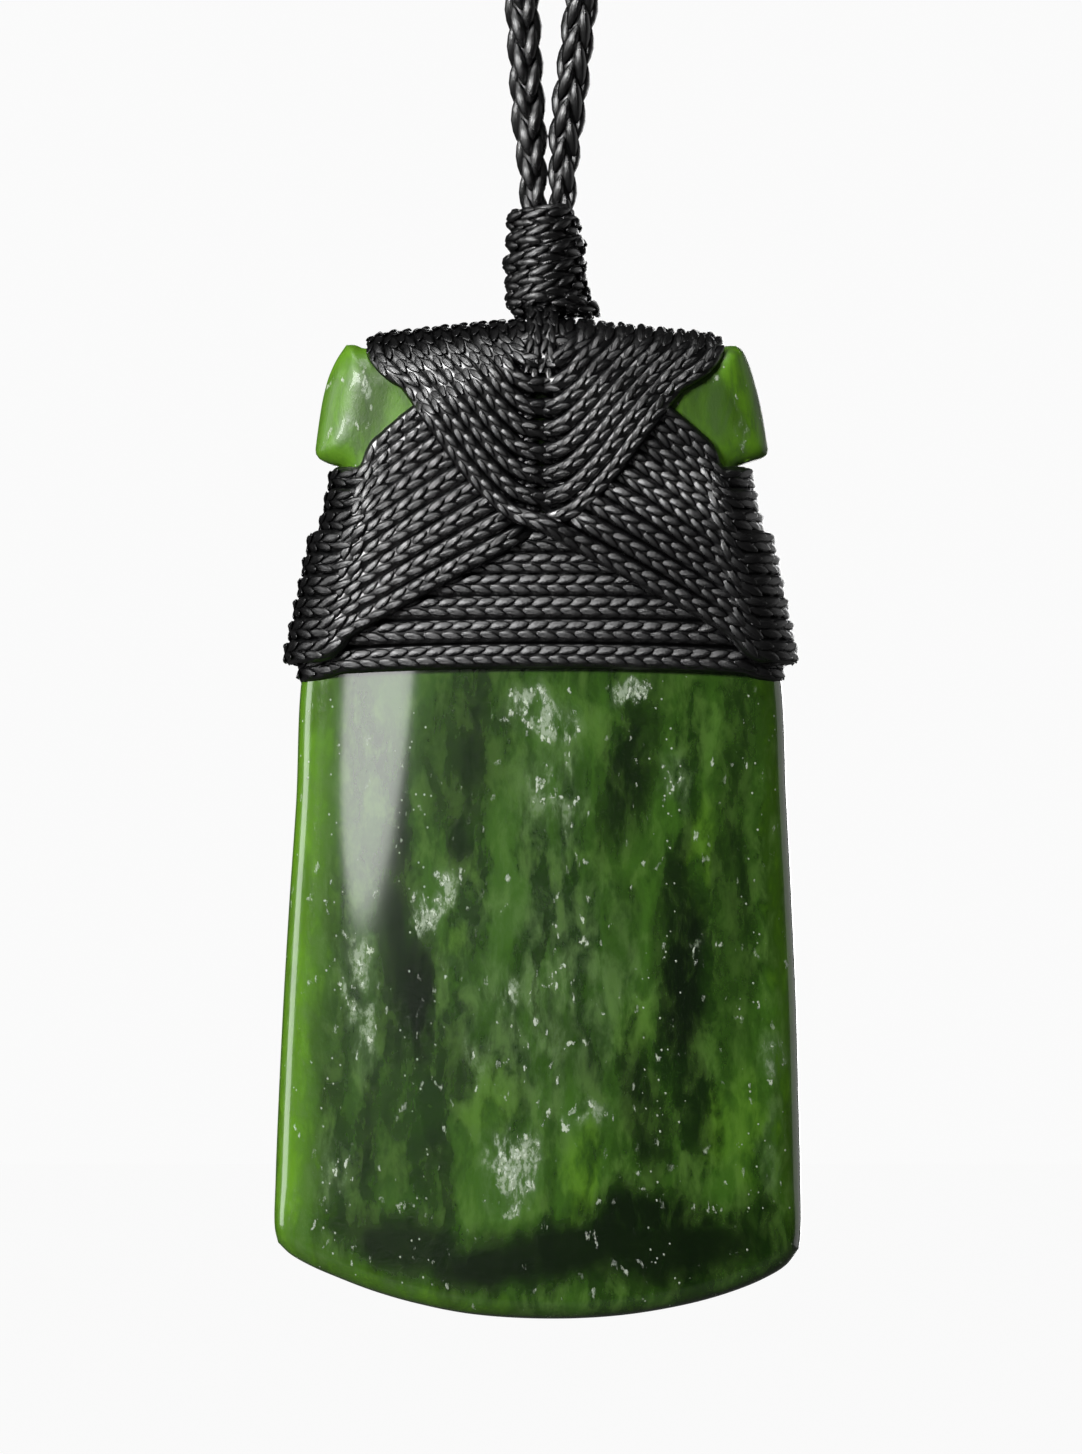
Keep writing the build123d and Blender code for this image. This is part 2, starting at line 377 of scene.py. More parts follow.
@dataclass(frozen=True)
class Braid:
    """A kind of braid: a dark core under rows of pointed lobes, made by Geometry Nodes."""

    name: str
    rows: tuple[LobeRow, ...]
    lobe_sides: int
    lobe_pitch: float
    core_width_share: float
    core_height_share: float = 0.52
    core_sides: int = 8
    core_step: float = 0.6
    lobe_rings: int = 6
    lobe_taper: float = 1.7
    yaw_jitter: float = 0.07
    least_scale: Triple = (0.94, 0.9, 0.9)
    most_scale: Triple = (1.06, 1.08, 1.1)
    scale_seed: float = 11.0
    shade_seed: float = 23.0

    def tree(self) -> bpy.types.NodeTree:
        """Build the tree that turns lines into this braid.

        Returns:
            The node group, with inputs for the braid's sizes.
        """
        maker = new_group(self.name, "GeometryNodeTree", [
            ("Geometry", "NodeSocketGeometry", None),
            *[(label, "NodeSocketFloat", MM) for label in BraidSizes.labels().values()],
            ("Seed", "NodeSocketInt", 1),
            ("Material", "NodeSocketMaterial", None),
        ], [("Geometry", "NodeSocketGeometry")])
        outward = maker.add("GeometryNodeInputNamedAttribute", {"Name": "outward"},
                            data_type="FLOAT_VECTOR").outputs["Attribute"]
        squeeze = maker.add("GeometryNodeInputNamedAttribute", {"Name": "squeeze"},
                            data_type="FLOAT").outputs["Attribute"]
        curve = maker.add("GeometryNodeMeshToCurve", {"Mesh": maker.entry["Geometry"]}).outputs[0]
        half_spacing = maker.times(maker.entry["Lobe Spacing"], 0.5)
        points = maker.add("GeometryNodeResampleCurve", {"Curve": curve, "Length": half_spacing},
                           mode="LENGTH").outputs[0]
        joined = maker.add("GeometryNodeJoinGeometry")
        maker.tree.links.new(self.core(maker, curve, outward, squeeze), joined.inputs[0])
        lobe = self.lobe(maker)
        for number, row in enumerate(self.rows):
            seed = maker.plus(maker.entry["Seed"], float(number))
            lobes = self.lobes(maker, row, lobe, points, outward, squeeze, seed)
            maker.tree.links.new(lobes, joined.inputs[0])
        smooth = maker.add("GeometryNodeSetShadeSmooth", {"Geometry": joined.outputs[0]}).outputs[0]
        real = maker.add("GeometryNodeRealizeInstances", {"Geometry": smooth}).outputs[0]
        dressed = maker.add("GeometryNodeSetMaterial", {
            "Geometry": real, "Material": maker.entry["Material"]}).outputs[0]
        maker.tree.links.new(dressed, maker.exit[0])
        return maker.tree

    def core(self, maker: TreeMaker, curve: bpy.types.NodeSocket, outward: bpy.types.NodeSocket,
             squeeze: bpy.types.NodeSocket) -> bpy.types.NodeSocket:
        """Sweep the oval core along the lines.

        Args:
            maker: the maker of the tree's nodes.
            curve: the lines.
            outward: the way out of what the cord lies on.
            squeeze: how far the cord is squeezed.

        Returns:
            The core's output.
        """
        line = maker.add("GeometryNodeResampleCurve", {"Curve": curve, "Length": self.core_step * MM},
                         mode="LENGTH").outputs[0]
        line = maker.add("GeometryNodeSetCurveNormal", {"Curve": line, "Normal": outward},
                         mode="FREE").outputs[0]
        circle = maker.add("GeometryNodeCurvePrimitiveCircle", {
            "Resolution": self.core_sides, "Radius": 1.0}).outputs[0]
        size = maker.combined(maker.times(maker.entry["Half Thickness"], self.core_height_share),
                              maker.times(maker.entry["Half Width"], self.core_width_share), 1.0)
        profile = maker.add("GeometryNodeTransform", {"Geometry": circle, "Scale": size}).outputs[0]
        return maker.add("GeometryNodeCurveToMesh", {
            "Curve": line, "Profile Curve": profile, "Scale": squeeze, "Fill Caps": True}).outputs[0]

    def lobe(self, maker: TreeMaker) -> bpy.types.NodeSocket:
        """Shape one lobe: a ball drawn out to two points, with its own coordinates kept for the filaments.

        Args:
            maker: the maker of the tree's nodes.

        Returns:
            The lobe's output.
        """
        ball = maker.add("GeometryNodeMeshUVSphere", {
            "Segments": self.lobe_sides, "Rings": self.lobe_rings, "Radius": 0.5}).outputs[0]
        ball = maker.add("GeometryNodeTransform", {
            "Geometry": ball, "Rotation": (0.0, math.pi / 2, 0.0)}).outputs[0]
        size = maker.combined(maker.entry["Lobe Length"], maker.entry["Lobe Width"],
                              maker.entry["Lobe Thickness"])
        place = maker.add("GeometryNodeInputPosition").outputs[0]
        along = maker.separate(place)[0]
        taper = maker.maths("SUBTRACT", 1.0, maker.times(maker.times(along, along), self.lobe_taper))
        narrowed = maker.vectors("MULTIPLY", place, maker.combined(1.0, taper, taper))
        lobe = maker.add("GeometryNodeSetPosition", {"Geometry": ball, "Position": narrowed}).outputs[0]
        lobe = maker.add("GeometryNodeTransform", {"Geometry": lobe, "Scale": size}).outputs[0]
        return maker.add("GeometryNodeStoreNamedAttribute", {
            "Geometry": lobe, "Name": "fibre",
            "Value": maker.scaled(maker.add("GeometryNodeInputPosition").outputs[0], 1 / MM),
        }, data_type="FLOAT_VECTOR", domain="POINT").outputs[0]

    def lobes(self, maker: TreeMaker, row: LobeRow, lobe: bpy.types.NodeSocket, points: bpy.types.NodeSocket,
              outward: bpy.types.NodeSocket, squeeze: bpy.types.NodeSocket,
              seed: bpy.types.NodeSocket) -> bpy.types.NodeSocket:
        """Set one row of lobes along the lines.

        Args:
            maker: the maker of the tree's nodes.
            row: the row.
            lobe: the lobe that is repeated.
            points: the places along the lines, half a spacing apart.
            outward: the way out of what the cord lies on.
            squeeze: how far the cord is squeezed.
            seed: the row's seed.

        Returns:
            The output of the row's instances.
        """
        tangent = maker.add("GeometryNodeInputTangent").outputs[0]
        sideways = maker.vectors("CROSS_PRODUCT", outward, tangent)
        offset = maker.vectors(
            "ADD", maker.scaled(sideways, maker.times(maker.entry["Half Width"], row.side_share)),
            maker.scaled(outward, maker.times(maker.entry["Half Thickness"], row.height_share)))
        places = maker.add("GeometryNodeSetPosition", {
            "Geometry": points, "Offset": maker.scaled(offset, squeeze)}).outputs[0]
        facing = maker.add("FunctionNodeAxesToRotation", {"Primary Axis": outward, "Secondary Axis": tangent},
                           primary_axis="Z", secondary_axis="X").outputs[0]
        jitter = maker.add("FunctionNodeRandomValue", {
            2: -self.yaw_jitter, 3: self.yaw_jitter, "Seed": seed}, data_type="FLOAT").outputs[1]
        turn = maker.combined(0.0, math.radians(-self.lobe_pitch), maker.plus(jitter, math.radians(row.yaw)))
        rotation = maker.turned(maker.turned(facing, (math.radians(-row.roll), 0.0, 0.0)), turn)
        parity = maker.maths("MODULO", maker.add("GeometryNodeInputIndex").outputs[0], 2.0)
        chosen = maker.add("FunctionNodeCompare", {0: parity, 1: float(row.parity)}, data_type="FLOAT",
                           operation="EQUAL").outputs[0]
        scale = maker.add("FunctionNodeRandomValue", {
            0: self.least_scale, 1: self.most_scale, "Seed": maker.plus(seed, self.scale_seed),
        }, data_type="FLOAT_VECTOR").outputs[0]
        lobes = maker.add("GeometryNodeInstanceOnPoints", {
            "Points": places, "Selection": chosen, "Instance": lobe, "Rotation": rotation,
            "Scale": maker.scaled(scale, squeeze)}).outputs[0]
        shade = maker.add("FunctionNodeRandomValue", {
            2: 0.0, 3: 1.0, "Seed": maker.plus(seed, self.shade_seed)}, data_type="FLOAT").outputs[1]
        shaded = maker.add("GeometryNodeStoreNamedAttribute", {
            "Geometry": lobes, "Name": "shade", "Value": shade}, data_type="FLOAT", domain="INSTANCE")
        return shaded.outputs[0]


def flat_braid() -> Braid:
    """Describe the binding's flat braid: two rows of lobes on top and one down each side.

    Returns:
        The braid.
    """
    return Braid("flat braid", (
        LobeRow(-0.76, -0.70, -58.0, 8.0, 1),
        LobeRow(-0.38, 0.46, -9.0, -9.0, 0),
        LobeRow(0.38, 0.46, 9.0, 9.0, 1),
        LobeRow(0.76, -0.70, 58.0, -8.0, 0),
    ), lobe_sides=7, lobe_pitch=8.0, core_width_share=1.0)


def round_plait() -> Braid:
    """Describe the neck cord's and whipping's round plait: six rows of lobes, every other one turned back.

    Returns:
        The braid.
    """
    reach, yaw = 0.70, 13.0
    rows = []
    for number, roll in enumerate((-150.0, -90.0, -30.0, 30.0, 90.0, 150.0)):
        side, height = math.sin(math.radians(roll)), math.cos(math.radians(roll))
        rows.append(LobeRow(reach * side, reach * height, roll, yaw * (-1) ** number, number % 2))
    return Braid("round plait", tuple(rows), lobe_sides=8, lobe_pitch=2.0, core_width_share=0.78)


def line_mesh(name: str, strands: list[Strand]) -> bpy.types.Mesh:
    """Put the lines of a piece of cord into a mesh.

    Args:
        name: the mesh's name.
        strands: the lines.

    Returns:
        The mesh, with the attributes that the braids' trees read.
    """
    points = np.vstack([strand.points for strand in strands])
    outward = np.vstack([strand.outward for strand in strands])
    squeeze = np.concatenate([np.ones(len(strand.points)) if strand.squeeze is None else strand.squeeze
                              for strand in strands])
    edges = []
    first = 0
    for strand in strands:
        count = len(strand.points)
        edges += [(first + i, first + i + 1) for i in range(count - 1)]
        if strand.closed:
            edges.append((first + count - 1, first))
        first += count
    mesh = bpy.data.meshes.new(name)
    mesh.from_pydata((points * MM).tolist(), edges, [])
    mesh.attributes.new("outward", "FLOAT_VECTOR", "POINT").data.foreach_set("vector", unit(outward).ravel())
    mesh.attributes.new("squeeze", "FLOAT", "POINT").data.foreach_set("value", squeeze)
    return mesh


def cord_object(name: str, strands: list[Strand], tree: bpy.types.NodeTree, inputs: dict) -> bpy.types.Object:
    """Make a piece of cord from its lines and a Geometry Nodes tree.

    Args:
        name: the piece's name.
        strands: the lines that its cords follow.
        tree: the tree that makes the cord.
        inputs: the tree's inputs by name.

    Returns:
        The piece as a plain mesh object.
    """
    lines = bpy.data.objects.new(name + " lines", line_mesh(name + " lines", strands))
    bpy.context.scene.collection.objects.link(lines)
    modifier = lines.modifiers.new("cord", "NODES")
    modifier.node_group = tree
    for item in tree.interface.items_tree:
        if item.in_out == "INPUT" and item.name in inputs:
            modifier[item.identifier] = inputs[item.name]
    evaluated = lines.evaluated_get(bpy.context.evaluated_depsgraph_get())
    made = bpy.data.meshes.new_from_object(evaluated)
    made.name = name
    piece = bpy.data.objects.new(name, made)
    bpy.context.scene.collection.objects.link(piece)
    lines.modifiers.remove(modifier)
    bpy.data.objects.remove(lines)
    return piece


def settle(piece: bpy.types.Object, node: str) -> None:
    """Tie a finished piece to the frame and report it.

    Args:
        piece: the piece.
        node: the CAD node that it stands for.
    """
    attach(piece, "root")
    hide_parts(node)
    piece.data.calc_loop_triangles()
    log.info("%s: %d triangles", piece.name, len(piece.data.loop_triangles))


@dataclass
class BoundForm:
    """What the binding lies on: the head and waist of the blade, without its ears."""

    thickness: float = 7.0
    crown: float = 1.2
    belly_half_width: float = 17.05
    edge_round: float = 1.7
    corners: tuple[Pair, ...] = ((12.95, 0.40), (12.95, 8.3), (15.95, 22.3), (17.05, 43.0))
    head_arch: float = 0.40
    head_dip: float = 0.4
    head_dip_sides: Pair = (9.4, 12.4)
    head_parts: int = 52
    head_round: float = 1.0
    head_round_drops: Pair = (2.0, 7.0)
    bulge: Pair = (0.08, 0.50)
    bulge_drops: Pair = (7.0, 12.0)
    bulge_sides: Pair = (2.0, 13.0)
    slope_step: float = 1e-3
    lift_rounds: int = 5

    def outline(self) -> np.ndarray:
        """Draw the front view, with the head arched and dipped at its ends.

        Returns:
            The outline's corners, in order.
        """
        right = np.array(self.corners)
        right[0][1] += self.head_dip
        left = right[::-1] * np.array([-1, 1])
        across = np.linspace(-1, 1, self.head_parts + 1)[1:-1]
        x = across * right[0][0]
        dip = self.head_dip * smoothstep(*self.head_dip_sides, np.abs(x))
        return np.vstack([np.column_stack([x, self.head_arch * across ** 2 + dip]), right, left])

    def half_width(self, drop: float) -> float:
        """Half width at a drop."""
        corners = np.array(self.corners)
        return float(np.interp(drop, corners[:, 1], corners[:, 0]))

    def half_depth(self, x: np.ndarray) -> np.ndarray:
        """Half of the depth from front to back, domed across the blade."""
        return self.thickness / 2 - self.crown * (x / self.belly_half_width) ** 2

    def distance(self, points: np.ndarray) -> np.ndarray:
        """Measure how far points are from the form.

        Args:
            points: the points, as x, y and drop.

        Returns:
            The distances, positive outside.
        """
        beyond = -outline_distance(points[:, [0, 2]], self.outline())
        rounding = self.edge_round + self.head_round * (1 - smoothstep(*self.head_round_drops, points[:, 2]))
        sides = np.column_stack([beyond, np.abs(points[:, 1]) - self.half_depth(points[:, 0])])
        sides = sides + rounding[:, None]
        outside = np.linalg.norm(np.maximum(sides, 0), axis=1)
        return np.minimum(sides.max(axis=1), 0) + outside - rounding

    def outward(self, points: np.ndarray) -> np.ndarray:
        """Direction away from the form at points (x, y, drop)."""
        steps = self.slope_step * np.eye(3)
        return unit(np.column_stack([self.distance(points + step) - self.distance(points - step)
                                     for step in steps]))

    def bulged(self, points: np.ndarray, outward: np.ndarray) -> np.ndarray:
        """Turn directions further sideways away from the middle, as on a bundle that bulges.

        Args:
            points: a closed line, as x, y and drop.
            outward: the direction away from the form at each point.

        Returns:
            The turned directions, square to the line.
        """
        high, low = self.bulge
        most = high + (low - high) * smoothstep(*self.bulge_drops, points[:, 2:])
        lean = most * np.sign(points[:, :1]) * smoothstep(*self.bulge_sides, np.abs(points[:, :1]))
        turned = outward + lean * np.array([1.0, 0.0, 0.0])
        along = along_loop(points)
        return unit(turned - (turned * along).sum(axis=1, keepdims=True) * along)

    def lifted(self, points: np.ndarray, level: np.ndarray) -> np.ndarray:
        """Move points to a height above the form.

        Args:
            points: places near the form, as x, y and drop.
            level: the wanted height of each.

        Returns:
            The moved points.
        """
        for _ in range(self.lift_rounds):
            points = points + (level - self.distance(points))[:, None] * self.outward(points)
        return points


@dataclass
class CordLevels:
    """Heights of a cord's middle over the stone."""

    lower: float = 0.5
    upper: float = 1.3
    waist_start: float = 12.7
    side_squeeze: float = 0.24
    side_reach: Pair = (13.5, 16.0)

    def pressed_in(self, x: np.ndarray, extra: float = 0.0) -> np.ndarray:
        """How far a cord is pressed in at the sides."""
        return (self.side_squeeze + extra) * smoothstep(*self.side_reach, x)


BINDING_BRAID = BraidSizes(half_width=0.74, half_thickness=0.50, lobe_length=1.75, lobe_width=0.70,
                           lobe_thickness=0.24, lobe_spacing=1.26)


@dataclass
class CrossedTurns:
    """The crossed turns of the binding: nine from each side of the head.

    The guides and heights are given for a turn that leans from the left, and are mirrored for the others.
    """

    form: BoundForm
    levels: CordLevels
    turns: int = 9
    sizes: BraidSizes = BINDING_BRAID
    seed: int = 40
    guide_step: float = 0.25

    # the head's end of a turn: its place, and how much of it the outermost turn loses
    head_first: float = 1.4
    head_pitch: float = 1.29
    head_inset: float = 0.6
    head_drop: float = 0.6
    # where a turn crosses the middle, and where it reaches the side
    centre_last: float = 12.3
    centre_pitch: float = 1.53
    side_first: float = 9.1
    side_pitch: float = 1.44
    side_inset: Pair = (0.4, 0.3)
    # the curve on either side of the middle: of the innermost turn, and how it changes to the outermost
    sag_places: tuple[float, ...] = (0.0, 0.18, 0.38, 0.6, 0.82)
    sag: Pair = (0.35, 1.4)
    sag_shape: float = 6.4
    rise_places: tuple[float, ...] = (0.0, 0.12, 0.3, 0.5, 0.7, 0.88, 1.0)
    rise: Pair = (0.85, -0.75)
    # the way round the side and over the head
    round_angles: tuple[float, ...] = (-50.0, 0.0, 50.0)
    round_depth: float = 4.5
    round_reach: float = 2.5
    side_clear: float = 1.2
    side_bow: float = 0.15
    head_clear: float = 1.0
    head_bow: float = 0.25
    head_shift: float = 0.5

    # height beside the middle line and near it
    hump_height: float = 0.6
    hump_half_width: float = 6.6
    head_press: float = 0.24
    head_press_sides: Pair = (7.0, 11.0)
    # where a turn comes to lie over the others: a line of drop against x, and how soft the change is
    crossing_start: float = -0.1
    crossing_slope: float = 0.6
    crossing_reach: Pair = (-0.9, 0.7)
    # where it dives under the next turn past the middle
    dive_reach: Pair = (-0.75, 1.15)
    dive_shift: Pair = (0.12, -0.28)
    last_hump: Triple = (0.45, 0.2, 1.7)
    last_dive: Pair = (-0.75, -0.1)
    last_return: Pair = (0.6, 2.0)
    last_sink: float = 0.1
    # where it lies over the waist turns, and how that differs at the side
    over_waist: Pair = (-5.2, 0.1)
    over_waist_middle: Pair = (0.8, 3.0)
    over_waist_beside: Pair = (-1.0, 1.2)
    beside_sides: Pair = (12.5, 15.0)

    # how far a turn leans on the one before, in degrees, and over how many points this changes
    shingle_head: float = 7.0
    shingle_side: float = 9.0
    shingle_change: float = 0.5
    shingle_softness: int = 8
    flip_side: float = 0.2
    # how far the right-hand turns spread at the head
    spread: float = 0.05
    spread_drops: Pair = (0.0, 7.0)
    # thickness: least, and what is added past the middle, at the head and at the side
    least_squeeze: float = 0.77
    squeeze_past: float = 0.14
    squeeze_past_sides: Pair = (-1.0, 4.0)
    squeeze_head: float = 0.2
    squeeze_head_drops: Pair = (0.0, 1.6)
    squeeze_side: float = 0.18
    squeeze_side_sides: Pair = (11.0, 14.5)

    # the passes between the fans: their places, the front half's guides, and their braid
    pass_places: Pair = (-0.42, 0.52)
    pass_guides: tuple[Triple, ...] = (
        (0.15, -0.4, -2.55), (0.12, -1.5, -2.2), (0.06, -2.7, -1.35),
        (0.0, -3.7, -0.2), (-0.1, -4.35, 1.2), (-0.2, -4.4, 2.4),
    )
    pass_axis_drop: float = 3.0
    pass_sizes: BraidSizes = replace(BINDING_BRAID, half_width=0.58, lobe_width=0.56)
    pass_seed: int = 60

    def build(self, tree: bpy.types.NodeTree, finish: bpy.types.Material) -> None:
        """Make the turns that lean each way, and the passes between the fans.

        Args:
            tree: the flat braid's tree.
            finish: the cord's finish.
        """
        for lean in Lean:
            strands = [self.strand(turn, lean) for turn in range(1, self.turns + 1)]
            piece = cord_object(f"crossed_turns_{lean.name.lower()}", strands, tree,
                                self.sizes.inputs(self.seed + lean.value, finish))
            settle(piece, "crossed_turns")
        strands = [self.middle_pass(x) for x in self.pass_places]
        piece = cord_object("middle_passes", strands, tree, self.pass_sizes.inputs(self.pass_seed, finish))
        settle(piece, "crossed_turns")

    def outer_share(self, turn: int) -> float:
        """Share of the way from the innermost turn to the outermost."""
        return (turn - 1) / (self.turns - 1)

    def front_guides(self, turn: int) -> np.ndarray:
        """Guide points of one turn over the front, from its head end to its far side.

        Args:
            turn: the turn's number, 1 for the innermost.

        Returns:
            Rows of x and drop.
        """
        share = self.outer_share(turn)
        head_x = self.head_inset * share - (self.head_first + self.head_pitch * (turn - 1))
        head = np.array([head_x, self.head_drop])
        centre = np.array([0.0, self.centre_last - self.centre_pitch * (self.turns - turn)])
        side_drop = self.side_first + self.side_pitch * (turn - 1)
        side = np.array([self.form.half_width(side_drop), side_drop]) - np.array(self.side_inset)
        sag = self.sag[0] + self.sag[1] * share
        rise = self.rise[0] + self.rise[1] * share
        down = np.array([0.0, 1.0])
        guides = [head + place * (centre - head) + self.sag_shape * sag * place ** 2 * (1 - place) * down
                  for place in self.sag_places]
        guides += [centre + place * (side - centre) - 4 * rise * place * (1 - place) * down
                   for place in self.rise_places]
        return np.array(guides)

    def front_depth(self, drop: float) -> float:
        """Find how deep a guide lies: on the rounded head, or well out below it.

        Args:
            drop: the guide's drop.

        Returns:
            The distance from the blade's middle plane.
        """
        rounding = self.form.edge_round + self.form.head_round
        if drop >= rounding:
            return self.form.thickness
        reach = rounding + self.levels.lower
        flat = self.form.thickness / 2 - rounding
        return flat + math.sqrt(max(reach ** 2 - (rounding - drop) ** 2, 0.0))

    def loop_guides(self, turn: int) -> np.ndarray:
        """Guide points of the whole turn: over the front, round the side, behind, and over the head.

        Args:
            turn: the turn's number, 1 for the innermost.

        Returns:
            Rows of x, y and drop.
        """
        front = self.front_guides(turn)
        depths = [self.front_depth(drop) for _, drop in front]
        side_x, side_drop = front[-1]
        head_x = front[0][0] - self.head_shift * self.outer_share(turn)
        rounds = [(self.round_depth * math.sin(math.radians(angle)), math.cos(math.radians(angle)))
                  for angle in self.round_angles]
        rows = [(x, -depth, drop) for (x, drop), depth in zip(front, depths)]
        rows += [(side_x + self.side_clear + self.round_reach * out, y, side_drop + self.side_bow * out)
                 for y, out in rounds]
        rows += [(x, depth, drop) for (x, drop), depth in zip(front[::-1], depths[::-1])]
        rows += [(head_x - self.head_bow * out, y, -self.head_clear - self.round_reach * out)
                 for y, out in rounds[::-1]]
        return np.array(rows)

    def dive(self, turn: int, lean: Lean, x: np.ndarray) -> np.ndarray:
        """Share by which a turn has dived under the others past the middle.

        Args:
            turn: the turn's number.
            lean: the side of the head that it comes from.
            x: the places across.

        Returns:
            The share at each place.
        """
        if turn < self.turns:
            shift = self.dive_shift[0] if lean is Lean.FROM_LEFT else self.dive_shift[1]
            return smoothstep(self.dive_reach[0] + shift, self.dive_reach[1] + shift, x)
        if lean is Lean.FROM_LEFT:
            return np.zeros(len(x))
        return smoothstep(*self.last_dive, x) * (1 - smoothstep(*self.last_return, x))

    def level(self, turn: int, lean: Lean, points: np.ndarray) -> np.ndarray:
        """Height of a turn's middle along its way.

        Args:
            turn: the turn's number.
            lean: the side of the head that it comes from.
            points: its points, mirrored to lean from the left.

        Returns:
            The height of each point.
        """
        low, high = self.levels.lower, self.levels.upper
        x, drop = points[:, 0], points[:, 2]
        crossing = self.crossing_start + self.crossing_slope * np.abs(x)
        over_others = smoothstep(*self.crossing_reach, drop - crossing)
        hump = self.hump_height * np.exp(-((x / self.hump_half_width) ** 2))
        at_head = low + hump - self.head_press * smoothstep(*self.head_press_sides, np.abs(x))
        before = at_head + (high - at_head) * over_others
        if turn == self.turns:
            height, middle, half_width = self.last_hump
            over_last = height * np.exp(-(((x - middle) / half_width) ** 2))
            before = before + (over_last if lean is Lean.FROM_LEFT else -self.last_sink)
        dive = self.dive(turn, lean, x)
        level = before * (1 - dive) + low * dive
        from_waist = drop - self.levels.waist_start
        beside = smoothstep(*self.beside_sides, x)
        over_middle = smoothstep(*self.over_waist, from_waist) * smoothstep(*self.over_waist_middle, x)
        over_side = smoothstep(*self.over_waist_beside, from_waist)
        over_waist = over_middle * (1 - beside) + over_side * beside
        return np.maximum(level, low + (high - low) * over_waist) - self.levels.pressed_in(x)

    def shingled(self, points: np.ndarray, outward: np.ndarray) -> np.ndarray:
        """Lean a turn's directions on the turn before it.

        Args:
            points: the turn's points.
            outward: the direction away from the form at each.

        Returns:
            The leaning directions.
        """
        across = unit(np.cross(outward, along_loop(points)))
        flip = np.sign(across[:, 2:3] + TINY - self.flip_side * across[:, 0:1])
        lean = np.where(points[:, 0] < self.shingle_change, self.shingle_head, self.shingle_side)
        wide = self.shingle_softness
        lean = np.convolve(np.concatenate([lean[-wide:], lean, lean[:wide]]),
                           np.ones(2 * wide + 1) / (2 * wide + 1), mode="valid")
        angle = np.radians(lean)[:, None]
        return unit(np.cos(angle) * outward + np.sin(angle) * across * flip)

    def squeeze(self, points: np.ndarray) -> np.ndarray:
        """Find how far a turn is squeezed along its way.

        Args:
            points: the turn's points, mirrored to lean from the left.

        Returns:
            The share of its thickness at each point.
        """
        x, drop = points[:, 0], points[:, 2]
        squeeze = self.least_squeeze + self.squeeze_past * smoothstep(*self.squeeze_past_sides, x)
        squeeze = squeeze + self.squeeze_head * (1 - smoothstep(*self.squeeze_head_drops, drop))
        return squeeze + self.squeeze_side * smoothstep(*self.squeeze_side_sides, x)

    def strand(self, turn: int, lean: Lean) -> Strand:
        """Lay one turn on the form.

        Args:
            turn: the turn's number.
            lean: the side of the head that it comes from.

        Returns:
            The turn's line.
        """
        points = spline_through(self.loop_guides(turn), self.guide_step, True)
        for _ in range(2):
            points = self.form.lifted(points, self.level(turn, lean, points))
            points = evenly(points, self.guide_step, True)
        points = self.form.lifted(points, self.level(turn, lean, points))
        outward = self.form.bulged(points, self.shingled(points, self.form.outward(points)))
        if lean is Lean.FROM_RIGHT:
            at_head = (1 - smoothstep(*self.spread_drops, points[:, 2])) * (points[:, 0] < 0)
            points[:, 0] *= 1 + self.spread * at_head
        squeeze = self.squeeze(points)
        mirror = np.array([lean.value, 1.0, 1.0])
        points, outward = points * mirror, outward * mirror
        if lean is Lean.FROM_RIGHT:
            points, outward, squeeze = points[::-1], outward[::-1], squeeze[::-1]
        return Strand(in_place(points), turned_over(outward), True, squeeze)

    def middle_pass(self, x: float) -> Strand:
        """Lay one pass that comes down from the whipping between the fans, front and back.

        Args:
            x: the pass's place across.

        Returns:
            The pass's line.
        """
        half = np.array(self.pass_guides)
        guides = np.vstack([half[::-1] * np.array([1, -1, 1]), half]) + np.array([x, 0, 0])
        points = spline_through(guides, self.guide_step, False)
        outward = points - np.array([x, 0.0, self.pass_axis_drop])
        outward[:, 0] = 0
        return Strand(in_place(points), turned_over(unit(outward)), False)


@dataclass
class WaistTurns:
    """The level turns round the waist, under the crossed ones."""

    form: BoundForm
    levels: CordLevels
    drops: tuple[float, ...] = (13.5, 14.95, 16.35, 17.85, 19.4, 21.05)
    sags: tuple[float, ...] = (0.0, 0.0, 0.05, 0.15, 0.3, 0.45)
    last_squeeze: float = 0.3
    guides_across: int = 9
    edge_inset: float = 1.0
    side_reach: float = 2.5
    side_depths: tuple[float, ...] = (-2.5, 0.0, 2.5)
    guide_step: float = 0.25
    sizes: BraidSizes = replace(BINDING_BRAID, half_width=0.88, lobe_width=0.76)
    seed: int = 3

    def build(self, tree: bpy.types.NodeTree, finish: bpy.types.Material) -> None:
        """Make the level turns.

        Args:
            tree: the flat braid's tree.
            finish: the cord's finish.
        """
        strands = [self.strand(drop, sag) for drop, sag in zip(self.drops, self.sags)]
        piece = cord_object("waist_turns_braid", strands, tree, self.sizes.inputs(self.seed, finish))
        settle(piece, "waist_turns")

    def strand(self, drop: float, sag: float) -> Strand:
        """Lay one level turn on the form.

        Args:
            drop: the turn's drop at the middle.
            sag: how much lower it lies at the sides.

        Returns:
            The turn's line.
        """
        edge = self.form.half_width(drop)
        deep = self.form.thickness
        row = np.linspace(-edge + self.edge_inset, edge - self.edge_inset, self.guides_across)
        rows = [(x, -deep, drop + sag * (x / edge) ** 2) for x in row]
        rows += [(edge + self.side_reach, y, drop + sag) for y in self.side_depths]
        rows += [(x, deep, drop + sag * (x / edge) ** 2) for x in row[::-1]]
        rows += [(-edge - self.side_reach, y, drop + sag) for y in self.side_depths[::-1]]
        points = spline_through(np.array(rows), self.guide_step, True)
        extra = self.last_squeeze if drop == self.drops[-1] else 0.0
        level = self.levels.lower - self.levels.pressed_in(np.abs(points[:, 0]), extra)
        points = evenly(self.form.lifted(points, level), self.guide_step, True)
        outward = self.form.bulged(points, self.form.outward(points))
        return Strand(in_place(points), turned_over(outward), True)


